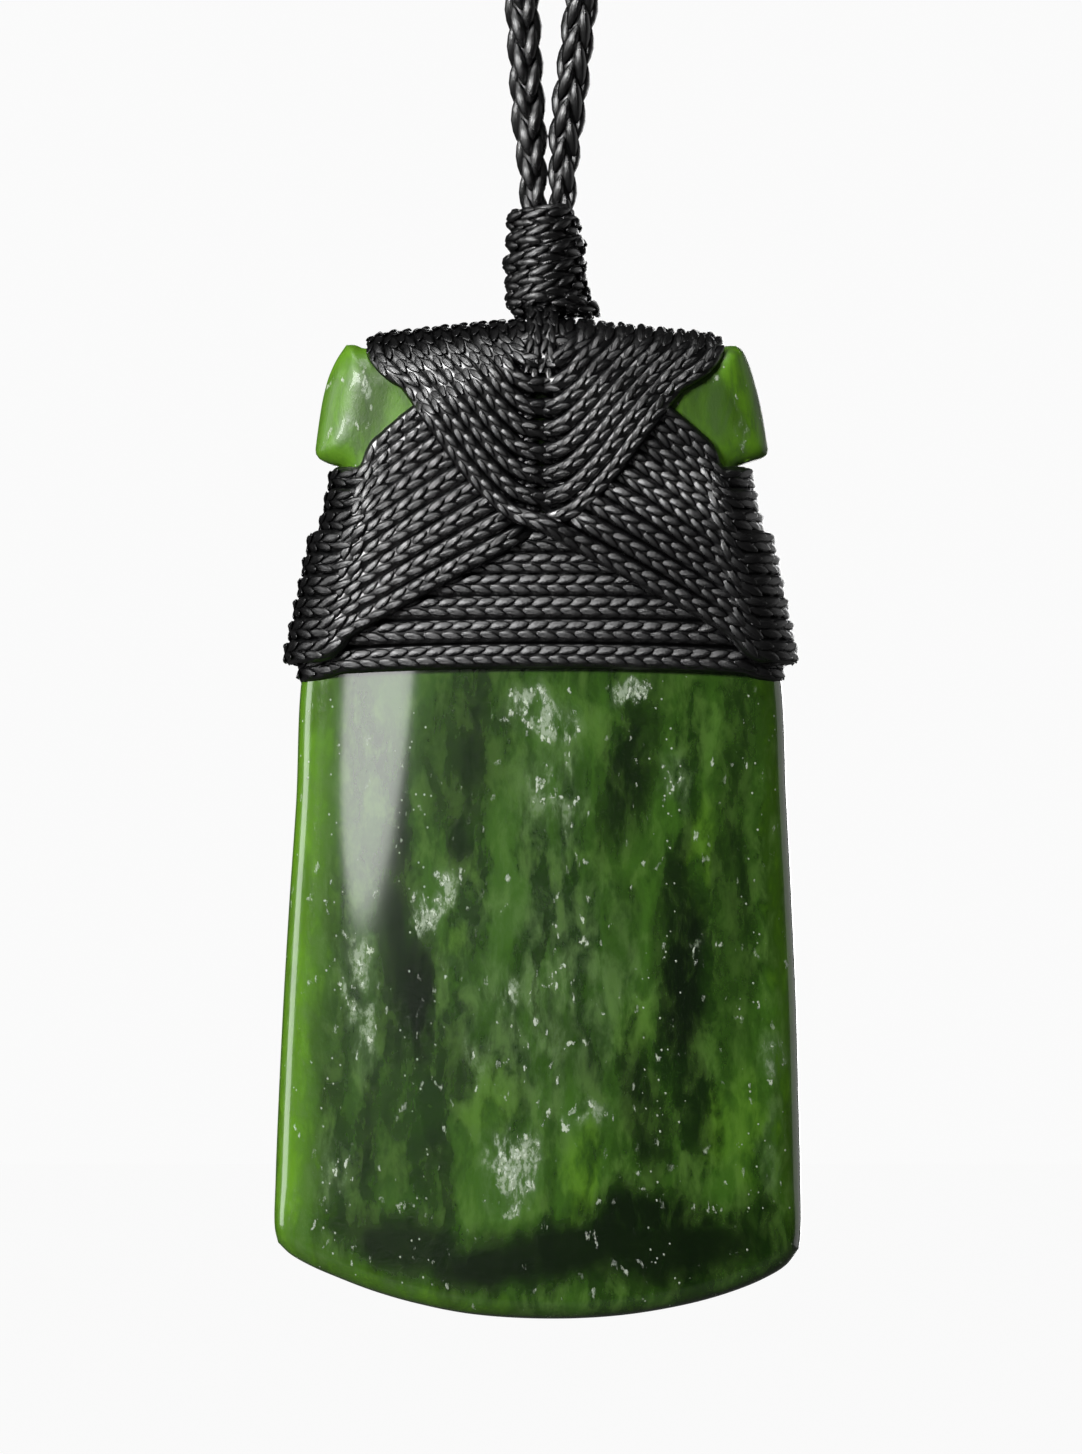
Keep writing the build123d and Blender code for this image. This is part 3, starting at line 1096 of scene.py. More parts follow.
@dataclass
class Whipping:
    """The coarse turns round both legs of the neck cord, and the end that is tucked in under them."""

    # sideways place, drop, and depth from front to back at the half turn that ends there
    ends: tuple[Triple, ...] = (
        (1.60, -8.25, 1.2), (-1.66, -7.90, -1.45), (2.02, -7.55, 1.6), (-1.72, -6.50, -1.65),
        (2.40, -6.22, 1.65), (-1.90, -5.00, -1.65), (2.42, -5.00, 1.65), (-1.78, -3.72, -1.65),
        (2.48, -3.95, 1.65), (-1.76, -2.60, -1.65), (2.72, -2.95, 1.6), (-1.40, -2.10, -1.35),
        (2.50, -2.25, 1.2),
    )
    half_turn_places: tuple[float, ...] = (0.0, 0.17, 0.36, 0.5, 0.64, 0.83)
    flatness: float = 0.8
    last_guide: Triple = (2.2, 0.3, -2.4)
    middle: float = 0.35
    tucked_guides: tuple[Triple, ...] = (
        (1.4, -1.75, -2.55), (2.4, -1.5, -2.3), (3.2, -0.75, -2.05),
        (3.42, 0.2, -1.95), (2.8, 1.1, -2.0), (1.8, 1.3, -2.1),
    )
    tucked_middle: Triple = (0.5, 0.0, -2.2)
    tucked_upright: float = 0.2
    inner_turns: int = 7
    inner_half_width: float = 1.085
    inner_half_depth: float = 0.775
    inner_drops: Pair = (-8.1, -2.2)
    inner_angle_step: float = 0.25
    guide_step: float = 0.2
    sizes: BraidSizes = BraidSizes(half_width=0.84, half_thickness=0.64, lobe_length=1.9, lobe_width=0.76,
                                   lobe_thickness=0.55, lobe_spacing=1.35)
    seeds: tuple[int, int, int] = (5, 6, 7)

    def build(self, tree: bpy.types.NodeTree, finish: bpy.types.Material) -> None:
        """Make the turns, the inner layer and the tucked end.

        Args:
            tree: the round plait's tree.
            finish: the cord's finish.
        """
        tucked = replace(self.sizes, half_width=0.62, half_thickness=0.55, lobe_width=0.52)
        pieces = (("whipping_turns", self.winding(), self.sizes),
                  ("whipping_inner_layer", self.inner_layer(), self.sizes),
                  ("tucked_end", self.tucked_end(), tucked))
        for (name, strand, sizes), seed in zip(pieces, self.seeds):
            settle(cord_object(name, [strand], tree, sizes.inputs(seed, finish)), "whipping")

    def winding(self) -> Strand:
        """Wind the turns downwards, each front pass rising to the right.

        Returns:
            The turns' line.
        """
        guides = []
        for (x, drop, _), (next_x, next_drop, depth) in zip(self.ends, self.ends[1:]):
            for share in self.half_turn_places:
                angle = math.pi * share
                across = (1 - math.cos(angle)) / 2
                guides.append((x + across * (next_x - x), depth * math.sin(angle) ** self.flatness,
                               drop + across * (next_drop - drop)))
        guides.append(self.last_guide)
        points = spline_through(np.array(guides), self.guide_step, False)
        outward = points - np.array([self.middle, 0.0, 0.0])
        outward[:, 2] = 0
        return Strand(in_place(points), unit(outward), False)

    def tucked_end(self) -> Strand:
        """Lay the end of cord that shows at the lower right.

        Returns:
            The end's line.
        """
        points = spline_through(np.array(self.tucked_guides), self.guide_step, False)
        outward = points - np.array(self.tucked_middle)
        outward[:, 2] *= self.tucked_upright
        return Strand(in_place(points), turned_over(unit(outward)), False)

    def inner_layer(self) -> Strand:
        """Wind the hidden inner layer that fills the space round the legs.

        Returns:
            The layer's line.
        """
        angles = np.arange(0, 2 * math.pi * self.inner_turns, self.inner_angle_step)
        drops = np.linspace(*self.inner_drops, len(angles))
        outward = np.column_stack([np.cos(angles), np.sin(angles), np.zeros(len(angles))])
        points = np.column_stack([self.middle + self.inner_half_width * np.cos(angles),
                                  self.inner_half_depth * np.sin(angles), drops])
        return Strand(in_place(points), unit(outward), False)


@dataclass
class NeckCord:
    """The plaited neck cord: one loop, with both ends in the whipping."""

    # sideways place and height above the whipping, up the right leg and down the left
    route: tuple[Pair, ...] = (
        (1.35, -5.0), (1.38, -1.0), (1.5, 3.5), (2.0, 8.0), (2.72, 14.0), (3.4, 21.0), (5.2, 34.0),
        (11.2, 66.0), (22.0, 112.0), (35.5, 166.0), (48.4, 212.0), (56.4, 247.0), (52.6, 281.0),
        (33.5, 304.6), (0.0, 311.0), (-33.5, 304.6), (-52.6, 281.0), (-56.4, 247.0), (-48.4, 212.0),
        (-35.0, 166.0), (-20.8, 112.0), (-9.2, 66.0), (-3.1, 34.0), (-1.75, 21.0), (-1.25, 14.0),
        (-0.92, 8.0), (-0.6, 3.5), (-0.45, -1.0), (-0.42, -5.0),
    )
    squeezed: float = 0.8
    squeezed_heights: Pair = (0.0, 7.0)
    points_a_span: int = 24
    guide_step: float = 0.5
    sizes: BraidSizes = BraidSizes(half_width=1.13, half_thickness=1.13, lobe_length=3.0, lobe_width=0.98,
                                   lobe_thickness=0.86, lobe_spacing=2.45)
    seed: int = 2

    def build(self, tree: bpy.types.NodeTree, finish: bpy.types.Material) -> None:
        """Make the neck cord.

        Args:
            tree: the round plait's tree.
            finish: the cord's finish.
        """
        piece = cord_object("plaited_neck_cord", [self.strand()], tree, self.sizes.inputs(self.seed, finish))
        settle(piece, "neck_cord")

    def line(self) -> np.ndarray:
        """Read the cord's line from the spline of its route.

        Returns:
            The line's points, evenly spaced.
        """
        curve = bpy.data.curves.new("neck cord route", "CURVE")
        curve.dimensions = "3D"
        curve.resolution_u = self.points_a_span
        spline = curve.splines.new("NURBS")
        spline.points.add(len(self.route) - 1)
        for point, (x, height) in zip(spline.points, self.route):
            point.co = (x * MM, 0.0, (WHIP_TOP_Z + height) * MM, 1.0)
        spline.order_u = 3
        spline.use_endpoint_u = True
        holder = bpy.data.objects.new("neck cord route", curve)
        bpy.context.scene.collection.objects.link(holder)
        evaluated = holder.evaluated_get(bpy.context.evaluated_depsgraph_get())
        line = bpy.data.meshes.new_from_object(evaluated)
        points = np.array([vertex.co for vertex in line.vertices]) / MM
        bpy.data.objects.remove(holder)
        bpy.data.curves.remove(curve)
        bpy.data.meshes.remove(line)
        return evenly(points, self.guide_step, False)

    def strand(self) -> Strand:
        """Lay the cord, squeezed at both ends.

        Returns:
            The cord's line.
        """
        points = self.line()
        height = points[:, 2] - WHIP_TOP_Z
        squeeze = self.squeezed + (1 - self.squeezed) * smoothstep(*self.squeezed_heights, height)
        outward = np.tile([0.0, -1.0, 0.0], (len(points), 1))
        log.info("neck cord line %.1f mm", lengths_along(points)[-1])
        return Strand(points, outward, False, squeeze)


@dataclass
class Blade:
    """The stone: its outline, its domed faces and the cutting edge ground from behind."""

    form: BoundForm
    cutting_edge: float = 2.4
    bevel_length: float = 12.0
    head: tuple[Pair, ...] = ((-12.95, 0.36), (-12.3, 0.38), (-11.9, 0.56), (-11.2, 0.6), (-10.2, 0.4),
                              (-8.0, 0.16), (0.0, 0.0), (8.0, 0.18), (10.2, 0.4), (11.2, 0.6), (11.9, 0.56),
                              (12.3, 0.44), (12.95, 0.42))
    left_ear: tuple[Pair, ...] = ((-12.95, 0.36), (-13.2, 0.72), (-13.6, 1.33), (-13.93, 2.0), (-14.2, 2.7),
                                  (-14.53, 4.0), (-14.75, 5.3), (-14.93, 6.65), (-15.03, 7.5))
    left_step: tuple[Pair, ...] = ((-15.03, 7.5), (-14.85, 7.86), (-14.0, 8.3), (-12.95, 8.6))
    left_side: tuple[Pair, ...] = ((-12.95, 8.6), (-14.4, 15.0), (-15.9, 22.3), (-16.3, 30.7), (-16.75, 37.3),
                                   (-17.15, 44.0), (-17.48, 50.7), (-17.68, 56.0), (-17.72, 59.1),
                                   (-17.5, 60.1))
    right_ear: tuple[Pair, ...] = ((12.95, 0.42), (13.4, 0.7), (13.75, 1.33), (14.0, 2.0), (14.27, 2.9),
                                   (14.6, 4.2), (14.87, 5.6), (15.05, 6.8), (15.13, 7.4))
    right_step: tuple[Pair, ...] = ((15.13, 7.4), (14.98, 7.75), (13.9, 8.15), (12.95, 8.5))
    right_side: tuple[Pair, ...] = ((12.95, 8.5), (14.4, 15.0), (15.95, 22.3), (16.38, 30.7), (16.72, 37.3),
                                    (17.02, 44.0), (17.2, 50.7), (17.32, 56.0), (17.32, 59.2), (17.15, 60.5))
    edge: tuple[Pair, ...] = ((-17.5, 60.1), (-16.7, 60.86), (-15.3, 61.65), (-13.4, 62.45), (-11.2, 63.27),
                              (-8.4, 64.07), (-4.6, 64.8), (0.6, 65.1), (5.4, 64.87), (9.9, 64.12),
                              (12.9, 63.27), (14.9, 62.45), (16.3, 61.6), (17.15, 60.5))
    fine_step: float = 0.05
    # the rounding of the front edge, and how much softer and lower it is at the ears and down the sides
    edge_round: float = 1.2
    ear_softness: float = 1.5
    ear_fall: float = 0.7
    ear_drops: Pair = (4.5, 9.5)
    side_softness: float = 0.8
    side_fall: float = 0.4
    side_start: Pair = (9.5, 14.0)
    side_end: Pair = (55.0, 60.0)
    # the arc that the cutting edge is ground along
    arc_half_width: float = 17.5
    arc_rise: float = 4.55
    arc_lowest: Pair = (1.0, 65.1)
    least_depth: float = 0.4
    # the grid: places of its lines beside the rim, their spacing inside, and the lengths they are laid over
    rim_places: tuple[float, ...] = (0.0, 0.03, 0.09, 0.18, 0.3, 0.45, 0.62, 0.82, 1.05, 1.35)
    spacing: float = 0.36
    grid_width: float = 34.0
    grid_height: float = 66.0

    def fine_line(self, *parts: tuple[Pair, ...]) -> np.ndarray:
        """Fine line of x and drop through the points of parts that follow each other."""
        return np.vstack([spline_through(np.array(part), self.fine_step, False) for part in parts])

    def shares(self, length: float) -> np.ndarray:
        """Places of the grid's lines across a length, from 0 to 1, closer at both ends."""
        rim = np.array(self.rim_places)
        middle = np.linspace(rim[-1], length - rim[-1], int((length - 2 * rim[-1]) / self.spacing) + 1)
        return np.concatenate([rim[:-1], middle, (length - rim[:-1])[::-1]]) / length

    @staticmethod
    def at_shares(line: np.ndarray, shares: np.ndarray) -> np.ndarray:
        """Points at shares of a line's length."""
        lengths = lengths_along(line)
        return at_lengths(line, lengths, shares * lengths[-1])

    def depth(self, places: np.ndarray, inside: np.ndarray) -> tuple[np.ndarray, np.ndarray]:
        """Find the front and back of the blade.

        Args:
            places: x and drop of each place.
            inside: its distance from the outline.

        Returns:
            The front's and the back's y.
        """
        half_thick = self.form.thickness / 2
        drop = places[:, 1]
        ear = 1 - smoothstep(*self.ear_drops, drop)
        side = smoothstep(*self.side_start, drop) * (1 - smoothstep(*self.side_end, drop))
        wide = self.edge_round + self.ear_softness * ear + self.side_softness * side
        fall = self.edge_round + self.ear_fall * ear + self.side_fall * side
        short = np.clip(1 - inside / wide, 0, 1)
        rounded = self.form.half_depth(places[:, 0]) - fall * (1 - np.sqrt(1 - short ** 2))
        radius = (self.arc_half_width ** 2 + self.arc_rise ** 2) / (2 * self.arc_rise)
        middle = np.array(self.arc_lowest) - np.array([0.0, radius])
        from_edge = np.maximum(radius - np.linalg.norm(places - middle, axis=1), 0)
        edge_y = self.cutting_edge - half_thick
        ground = edge_y + from_edge * (half_thick - edge_y) / self.bevel_length
        return -rounded, np.minimum(rounded, np.maximum(ground, self.least_depth - rounded))

    def grid(self) -> tuple[np.ndarray, np.ndarray]:
        """Lay a grid of lines over the front view.

        Returns:
            x and drop of the grid's points by row and column, and the corners of its outline.
        """
        across, down = self.shares(self.grid_width), self.shares(self.grid_height)
        top = self.at_shares(self.fine_line(self.head), across)
        bottom = self.at_shares(self.fine_line(self.edge), across)
        left = self.at_shares(self.fine_line(self.left_ear, self.left_step, self.left_side), down)
        right = self.at_shares(self.fine_line(self.right_ear, self.right_step, self.right_side), down)
        u, v = across[None, :, None], down[:, None, None]
        between_sides = (1 - u) * left[:, None] + u * right[:, None]
        between_ends = (1 - v) * top[None] + v * bottom[None]
        corners = (1 - v) * ((1 - u) * top[0] + u * top[-1]) + v * ((1 - u) * bottom[0] + u * bottom[-1])
        outline = np.vstack([top[:-1], right[:-1], bottom[::-1][:-1], left[::-1][:-1]])
        return between_sides + between_ends - corners, outline

    @staticmethod
    def faces(rows: int, columns: int) -> list[tuple[int, ...]]:
        """Join the grid's points to a front, a back and a rim between them.

        Args:
            rows: the grid's rows of points.
            columns: its columns of points.

        Returns:
            The faces, with the back's points numbered after the front's.
        """
        number = np.arange(rows * columns).reshape(rows, columns)
        behind = number + rows * columns
        faces = []
        for i in range(rows - 1):
            for j in range(columns - 1):
                faces.append((number[i, j], number[i + 1, j], number[i + 1, j + 1], number[i, j + 1]))
                faces.append((behind[i, j], behind[i, j + 1], behind[i + 1, j + 1], behind[i + 1, j]))
        ring = np.concatenate([number[0, :-1], number[:-1, -1], number[-1, :0:-1], number[:0:-1, 0]])
        for start, end in zip(ring, np.roll(ring, -1)):
            faces.append((start, end, end + rows * columns, start + rows * columns))
        return [tuple(int(corner) for corner in face) for face in faces]

    def build(self, finish: bpy.types.Material) -> None:
        """Build the stone as one closed mesh, with its distance from the outline kept as an attribute.

        Args:
            finish: the jade.
        """
        grid, outline = self.grid()
        places = grid.reshape(-1, 2)
        inside = np.maximum(outline_distance(places, outline), 0)
        points = np.vstack([np.column_stack([places[:, 0], y, places[:, 1]])
                            for y in self.depth(places, inside)])
        mesh = bpy.data.meshes.new("jade_stone")
        mesh.from_pydata((in_place(points) * MM).tolist(), [], self.faces(*grid.shape[:2]))
        mesh.attributes.new("rim", "FLOAT", "POINT").data.foreach_set("value", np.tile(inside, 2))
        mesh.polygons.foreach_set("use_smooth", np.ones(len(mesh.polygons), bool))
        mesh.validate()
        mesh.materials.append(finish)
        stone = bpy.data.objects.new("jade_stone", mesh)
        bpy.context.scene.collection.objects.link(stone)
        settle(stone, "stone")


def new_material(name: str) -> tuple[bpy.types.Material, TreeMaker, bpy.types.Node]:
    """Start a material.

    Args:
        name: the material's name.

    Returns:
        The material, the maker of its nodes and its Principled BSDF.
    """
    material = bpy.data.materials.new(name)
    material.use_nodes = True
    shader = next(node for node in material.node_tree.nodes if node.type == "BSDF_PRINCIPLED")
    return material, TreeMaker(material.node_tree), shader


def set_surface(maker: TreeMaker, shader: bpy.types.Node, values: dict[str, Feed]) -> None:
    """Set or join a shader's inputs.

    Args:
        maker: the maker of the material's nodes.
        shader: the shader.
        values: the value or output for each input.
    """
    for name, value in values.items():
        if isinstance(value, bpy.types.NodeSocket):
            maker.tree.links.new(value, shader.inputs[name])
        else:
            shader.inputs[name].default_value = value


class SharedEffects:
    """Shader node groups that more than one finish uses."""

    STRETCH = 0.06
    LINE_DETAIL = 3.0
    LINE_ROUGHNESS = 0.6
    WAX = NoiseLook(upright=1.0, scale=1.7, detail=3.0, roughness=0.55)
    WAX_LEVELS = (0.35, 0.7)

    _fibres: bpy.types.NodeTree | None = None

    @classmethod
    def fibres(cls) -> bpy.types.NodeTree:
        """Build once the group that draws the fine filaments of a waxed strand.

        Returns:
            The group: from a filament coordinate to a height and a mask of wax.
        """
        if cls._fibres is None:
            maker = new_group("filaments", "ShaderNodeTree", [
                ("Coordinate", "NodeSocketVector", (0.0, 0.0, 0.0)),
                ("Fineness", "NodeSocketFloat", 1.0),
            ], [("Height", "NodeSocketFloat"), ("Wax", "NodeSocketFloat")])
            coordinate = maker.entry["Coordinate"]
            lined = maker.vectors("MULTIPLY", coordinate, (cls.STRETCH, 1.0, 1.0))
            lines = maker.add("ShaderNodeTexNoise", {
                "Vector": lined, "Scale": maker.entry["Fineness"], "Detail": cls.LINE_DETAIL,
                "Roughness": cls.LINE_ROUGHNESS}).outputs[0]
            wax = maker.mapped(maker.noise(coordinate, cls.WAX)[0], cls.WAX_LEVELS)
            maker.tree.links.new(lines, maker.exit["Height"])
            maker.tree.links.new(wax, maker.exit["Wax"])
            cls._fibres = maker.tree
        return cls._fibres


@dataclass(frozen=True)
class WaxedCordFinish:
    """Black waxed polyester cord: satin filaments with a thin film of wax."""

    name: str
    dark: Colour = (0.0005, 0.0005, 0.0006, 1.0)
    light: Colour = (0.0020, 0.0020, 0.0022, 1.0)
    tone_levels: Pair = (0.35, 0.65)
    tone_shares: Pair = (0.7, 0.3)
    roughness: Pair = (0.27, 0.35)
    fineness: float = 14.0
    bump: float = 0.6
    bump_depth: float = 0.08
    specular: float = 0.9
    coat: float = 0.25
    coat_roughness: float = 0.25

    def material(self) -> bpy.types.Material:
        """Build the material.

        Returns:
            The material.
        """
        material, maker, shader = new_material(self.name)
        coordinate = maker.add("ShaderNodeAttribute", attribute_name="fibre").outputs["Vector"]
        shade = maker.add("ShaderNodeAttribute", attribute_name="shade").outputs["Fac"]
        filaments = maker.add("ShaderNodeGroup", node_tree=SharedEffects.fibres())
        maker.tree.links.new(coordinate, filaments.inputs["Coordinate"])
        filaments.inputs["Fineness"].default_value = self.fineness
        height, wax = filaments.outputs["Height"], filaments.outputs["Wax"]
        tone = maker.plus(maker.times(maker.mapped(height, self.tone_levels), self.tone_shares[0]),
                          maker.times(shade, self.tone_shares[1]))
        waxed, dry = self.roughness
        bump = maker.add("ShaderNodeBump", {"Strength": self.bump, "Distance": self.bump_depth * MM,
                                            "Height": height}).outputs[0]
        set_surface(maker, shader, {
            "Base Color": maker.mixed(tone, self.dark, self.light),
            "Roughness": maker.plus(maker.times(wax, waxed - dry), dry),
            "Normal": bump,
            "Specular IOR Level": self.specular,
            "Coat Weight": self.coat,
            "Coat Roughness": self.coat_roughness,
        })
        return material


@dataclass(frozen=True)
class StoneGrounds:
    """What the stone's colours are made from: places in millimetres, noises, and masks."""

    place: bpy.types.NodeSocket
    bent: bpy.types.NodeSocket
    side: bpy.types.NodeSocket
    drop: bpy.types.NodeSocket
    veins: bpy.types.NodeSocket
    mottle: bpy.types.NodeSocket
    grain: bpy.types.NodeSocket
    rim: bpy.types.NodeSocket
    ears: bpy.types.NodeSocket
    dark: bpy.types.NodeSocket
    warm: bpy.types.NodeSocket
    hazy: bpy.types.NodeSocket


@dataclass(frozen=True)
class JadeFinish:
    """Polished nephrite: dark streaks and pale clouds in green, painted brighter where the edge is thin, as
    light let through it.
    """

    name: str = "polished jade"
    black_green: Colour = (0.003, 0.008, 0.002, 1.0)
    deep: Colour = (0.009, 0.030, 0.003, 1.0)
    green: Colour = (0.038, 0.105, 0.010, 1.0)
    leaf: Colour = (0.085, 0.175, 0.030, 1.0)
    # painted light let through the thin edge and the ears, and the warm tongues' own yellow-green
    rim_green: Colour = (0.095, 0.230, 0.010, 1.0)
    haze: Colour = (0.150, 0.220, 0.110, 1.0)
    cloud: Colour = (0.340, 0.410, 0.300, 1.0)
    flake: Colour = (0.560, 0.620, 0.510, 1.0)

    # the patches: x, drop, half width, half height, tilt in degrees, strength
    streaks: tuple[Patch, ...] = (
        (-5.3, 27.5, 3.1, 5.2, 0.0, 0.72),
        (-9.6, 40.0, 1.6, 9.0, -3.0, 0.75),
        (-7.9, 43.7, 1.2, 5.2, -4.0, 1.0),
        (-10.9, 53.3, 1.8, 5.0, 0.0, 0.45),
        (6.2, 28.5, 1.6, 6.5, -14.0, 0.9),
        (8.8, 38.0, 1.3, 5.0, -16.0, 0.8),
        (9.5, 42.5, 1.7, 6.0, -5.0, 1.0),
        (7.0, 52.2, 1.2, 5.6, 6.0, 0.85),
        (9.8, 49.5, 1.0, 5.0, 0.0, 0.6),
        (13.2, 34.4, 1.4, 13.0, -2.0, 0.7),
        (-0.2, 41.7, 0.25, 4.0, 2.0, 0.6),
        (-5.0, 31.7, 0.8, 2.5, 0.0, 0.6),
        (-9.4, 60.2, 3.6, 2.4, -14.0, 0.95),
        (-3.0, 61.6, 4.6, 1.7, 0.0, 1.0),
        (7.6, 60.6, 7.2, 2.6, 3.0, 1.0),
        (6.6, 59.0, 3.8, 2.4, 0.0, 1.0),
        (14.0, 59.2, 1.6, 2.4, 20.0, 0.6),
        (4.5, 60.6, 10.0, 2.2, 1.5, 1.0),
        (-14.2, 47.5, 1.0, 4.0, 0.0, 0.45),
        (-15.4, 24.6, 0.9, 2.2, 0.0, 0.5),
        (-15.6, 37.5, 0.7, 3.0, 0.0, 0.35),
        (5.3, 39.0, 0.9, 4.0, -10.0, 0.35),
        (-5.5, 48.7, 0.9, 3.0, 0.0, 0.5),
        (2.6, 47.5, 1.4, 3.0, 20.0, 0.4),
        (-6.9, 55.8, 1.4, 3.2, 0.0, 0.6),
        (-11.4, 4.2, 1.4, 3.0, -10.0, 0.55),
        (11.2, 4.8, 1.6, 2.6, 25.0, 0.6),
    )
    clouds: tuple[Patch, ...] = (
        (0.0, 25.2, 2.1, 1.8, -10.0, 1.0),
        (0.8, 30.9, 2.3, 4.4, -4.0, 0.55),
        (5.9, 23.1, 1.3, 0.8, 8.0, 1.0),
        (-6.8, 37.4, 1.1, 3.0, -28.0, 1.0),
        (-8.8, 45.2, 0.6, 0.9, 0.0, 1.0),
        (-2.3, 43.3, 1.0, 1.4, 0.0, 0.85),
        (-1.9, 54.6, 1.5, 3.0, -8.0, 1.0),
        (-1.7, 57.5, 0.6, 0.6, 0.0, 1.0),
        (0.5, 43.5, 5.5, 8.0, 6.0, 0.45),
        # this patch paints pale flecks down the lower end of the window's reflection: partly white flecks in
        # the stone, partly a painted reflection of the sheen
        (-12.3, 43.5, 0.8, 5.5, -3.0, 0.70),
        (9.1, 29.6, 1.1, 2.2, 12.0, 0.65),
        (15.3, 47.3, 0.7, 1.8, 0.0, 0.7),
        (14.9, 53.7, 0.8, 3.2, -8.0, 0.5),
        (2.8, 51.9, 1.6, 0.9, 0.0, 0.65),
        (10.7, 41.0, 0.5, 1.2, 0.0, 0.7),
        (-4.4, 47.5, 0.9, 3.0, 0.0, 0.5),
        (-13.7, 55.8, 1.3, 2.2, 0.0, 0.5),
        (12.8, 5.6, 0.3, 1.5, 8.0, 0.9),
        (-11.9, 2.8, 0.3, 1.3, 8.0, 0.9),
        (-12.7, 5.2, 0.6, 0.7, 0.0, 0.8),
    )
    tongues: tuple[Patch, ...] = (
        (2.8, 55.6, 0.9, 3.3, 0.0, 0.85),
        (11.1, 34.8, 0.8, 3.8, -6.0, 0.75),
        (6.2, 45.8, 1.2, 2.0, 0.0, 0.45),
        (11.2, 52.4, 1.0, 2.4, 0.0, 0.55),
        (-3.5, 50.0, 1.5, 2.2, 0.0, 0.5),
        (-5.6, 39.6, 0.9, 1.0, 0.0, 0.6),
        (13.3, 52.4, 1.2, 4.0, 0.0, 0.55),
    )
    patch_edge: Pair = (1.3, 0.55)
    patch_growth: Triple = (1.25, 9.0, 1.15)

    # noise patterns: two that bend the stone's lines, with how far they do, and three that colour it
    bends: tuple[tuple[NoiseLook, float], ...] = (
        (NoiseLook(upright=0.45, scale=0.22, detail=4.0), 4.0),
        (NoiseLook(upright=0.5, scale=0.95, detail=6.0, roughness=0.68), 2.2),
    )
    veins: NoiseLook = NoiseLook(upright=0.16, scale=0.36, detail=6.0, roughness=0.55)
    mottle: NoiseLook = NoiseLook(upright=0.45, scale=0.8, detail=8.0, roughness=0.58, distortion=0.3)
    grain: NoiseLook = NoiseLook(upright=0.6, scale=3.4, detail=5.0, roughness=0.7)

    # the painted light let through the thin rim and the ears: wider to the left, narrower at the foot, and
    # ragged by the mottle and the veins
    rim_across: Pair = (6.0, -10.0)
    rim_wider: Pair = (-0.3, 1.3)
    rim_ragged: Pair = (6.5, 4.0)
    foot_drops: Pair = (57.0, 61.0)
    foot_narrower: Pair = (0.0, 1.5)
    rim_levels: Pair = (2.4, -1.2)
    rim_vein_levels: Pair = (0.34, 0.56)
    rim_vein_shares: Pair = (0.55, 1.0)
    # share of the painted edge light and the warm tongues
    tongue_and_edge_light_share: float = 0.9
    ear_drops: Pair = (9.5, 8.0)
    ear_mottle_levels: Pair = (0.68, 0.42)
    # the body's greens, its warm tongues and its haze
    green_levels: Pair = (0.36, 0.62)
    leaf_levels: Pair = (0.44, 0.66)
    leaf_share: float = 0.6
    tongue_levels: Pair = (0.36, 0.58)
    tongue_share: float = 0.65
    haze_levels: Pair = (0.34, 0.60)
    haze_share: float = 0.42
    # the dark streaks: broken up by the noise but whole at the foot, and faded at the rim, where the painted
    # edge light shows
    break_levels: Pair = (1.2, 0.9)
    break_shares: Pair = (0.7, 1.0)
    whole_drops: Pair = (57.0, 59.5)
    shadow_rim: Pair = (0.1, 1.3)
    shadow_shares: Pair = (0.15, 0.97)
    # the clouds, the flakes in them and the specks all over
    cloud_levels: Pair = (0.38, 0.85)
    cloud_grain_levels: Pair = (0.40, 0.56)
    cloud_share: float = 0.80
    flake_upright: float = 0.55
    flake_scale: float = 2.4
    flake_haze: float = 0.8
    flake_grain: float = 0.18
    flake_levels: Pair = (1.04, 1.12)
    flake_reach: Pair = (0.46, 0.24)
    flake_share: float = 0.75
    speck_upright: float = 0.8
    speck_scale: float = 1.9
    speck_mottle: float = 0.4
    speck_levels: Pair = (0.95, 1.0)
    speck_reach: Pair = (0.16, 0.07)
    speck_share: float = 0.6

    # the surface: over the body, and at the ears or on the flakes
    roughness: Pair = (0.20, 0.40)
    flake_roughness: float = 0.12
    relief: Pair = (0.8, 0.5)
    bump: float = 0.4
    bump_depth: float = 0.12
    coat: Pair = (1.0, 0.12)
    coat_lost: float = 0.8
    coat_roughness: float = 0.05
    coat_index: float = 1.6
    index: float = 1.62
    specular: float = 0.3
    subsurface: float = 0.1
    subsurface_radius: Triple = (0.6, 1.0, 0.25)
    subsurface_depth: float = 0.8

    def patch_group(self) -> bpy.types.NodeTree:
        """Build the group that marks one soft patch in the stone.

        Returns:
            The group: from a place and the patch's measures to a mask.
        """
        maker = new_group("stone patch", "ShaderNodeTree", [
            ("Vector", "NodeSocketVector", (0.0, 0.0, 0.0)),
            ("Middle", "NodeSocketVector", (0.0, 0.0, 0.0)),
            ("Tilt", "NodeSocketFloat", 0.0),
            ("Size", "NodeSocketVector", (1.0, 1.0, 1.0)),
            ("Strength", "NodeSocketFloat", 1.0),
        ], [("Mask", "NodeSocketFloat")])
        moved = maker.vectors("SUBTRACT", maker.entry["Vector"], maker.entry["Middle"])
        turned = maker.add("ShaderNodeVectorRotate", {"Vector": moved, "Angle": maker.entry["Tilt"]},
                           rotation_type="Y_AXIS").outputs[0]
        sized = maker.vectors("DIVIDE", turned, maker.entry["Size"])
        reach = maker.add("ShaderNodeVectorMath", {0: sized}, operation="LENGTH").outputs["Value"]
        mask = maker.times(maker.mapped(reach, self.patch_edge), maker.entry["Strength"])
        maker.tree.links.new(mask, maker.exit["Mask"])
        return maker.tree

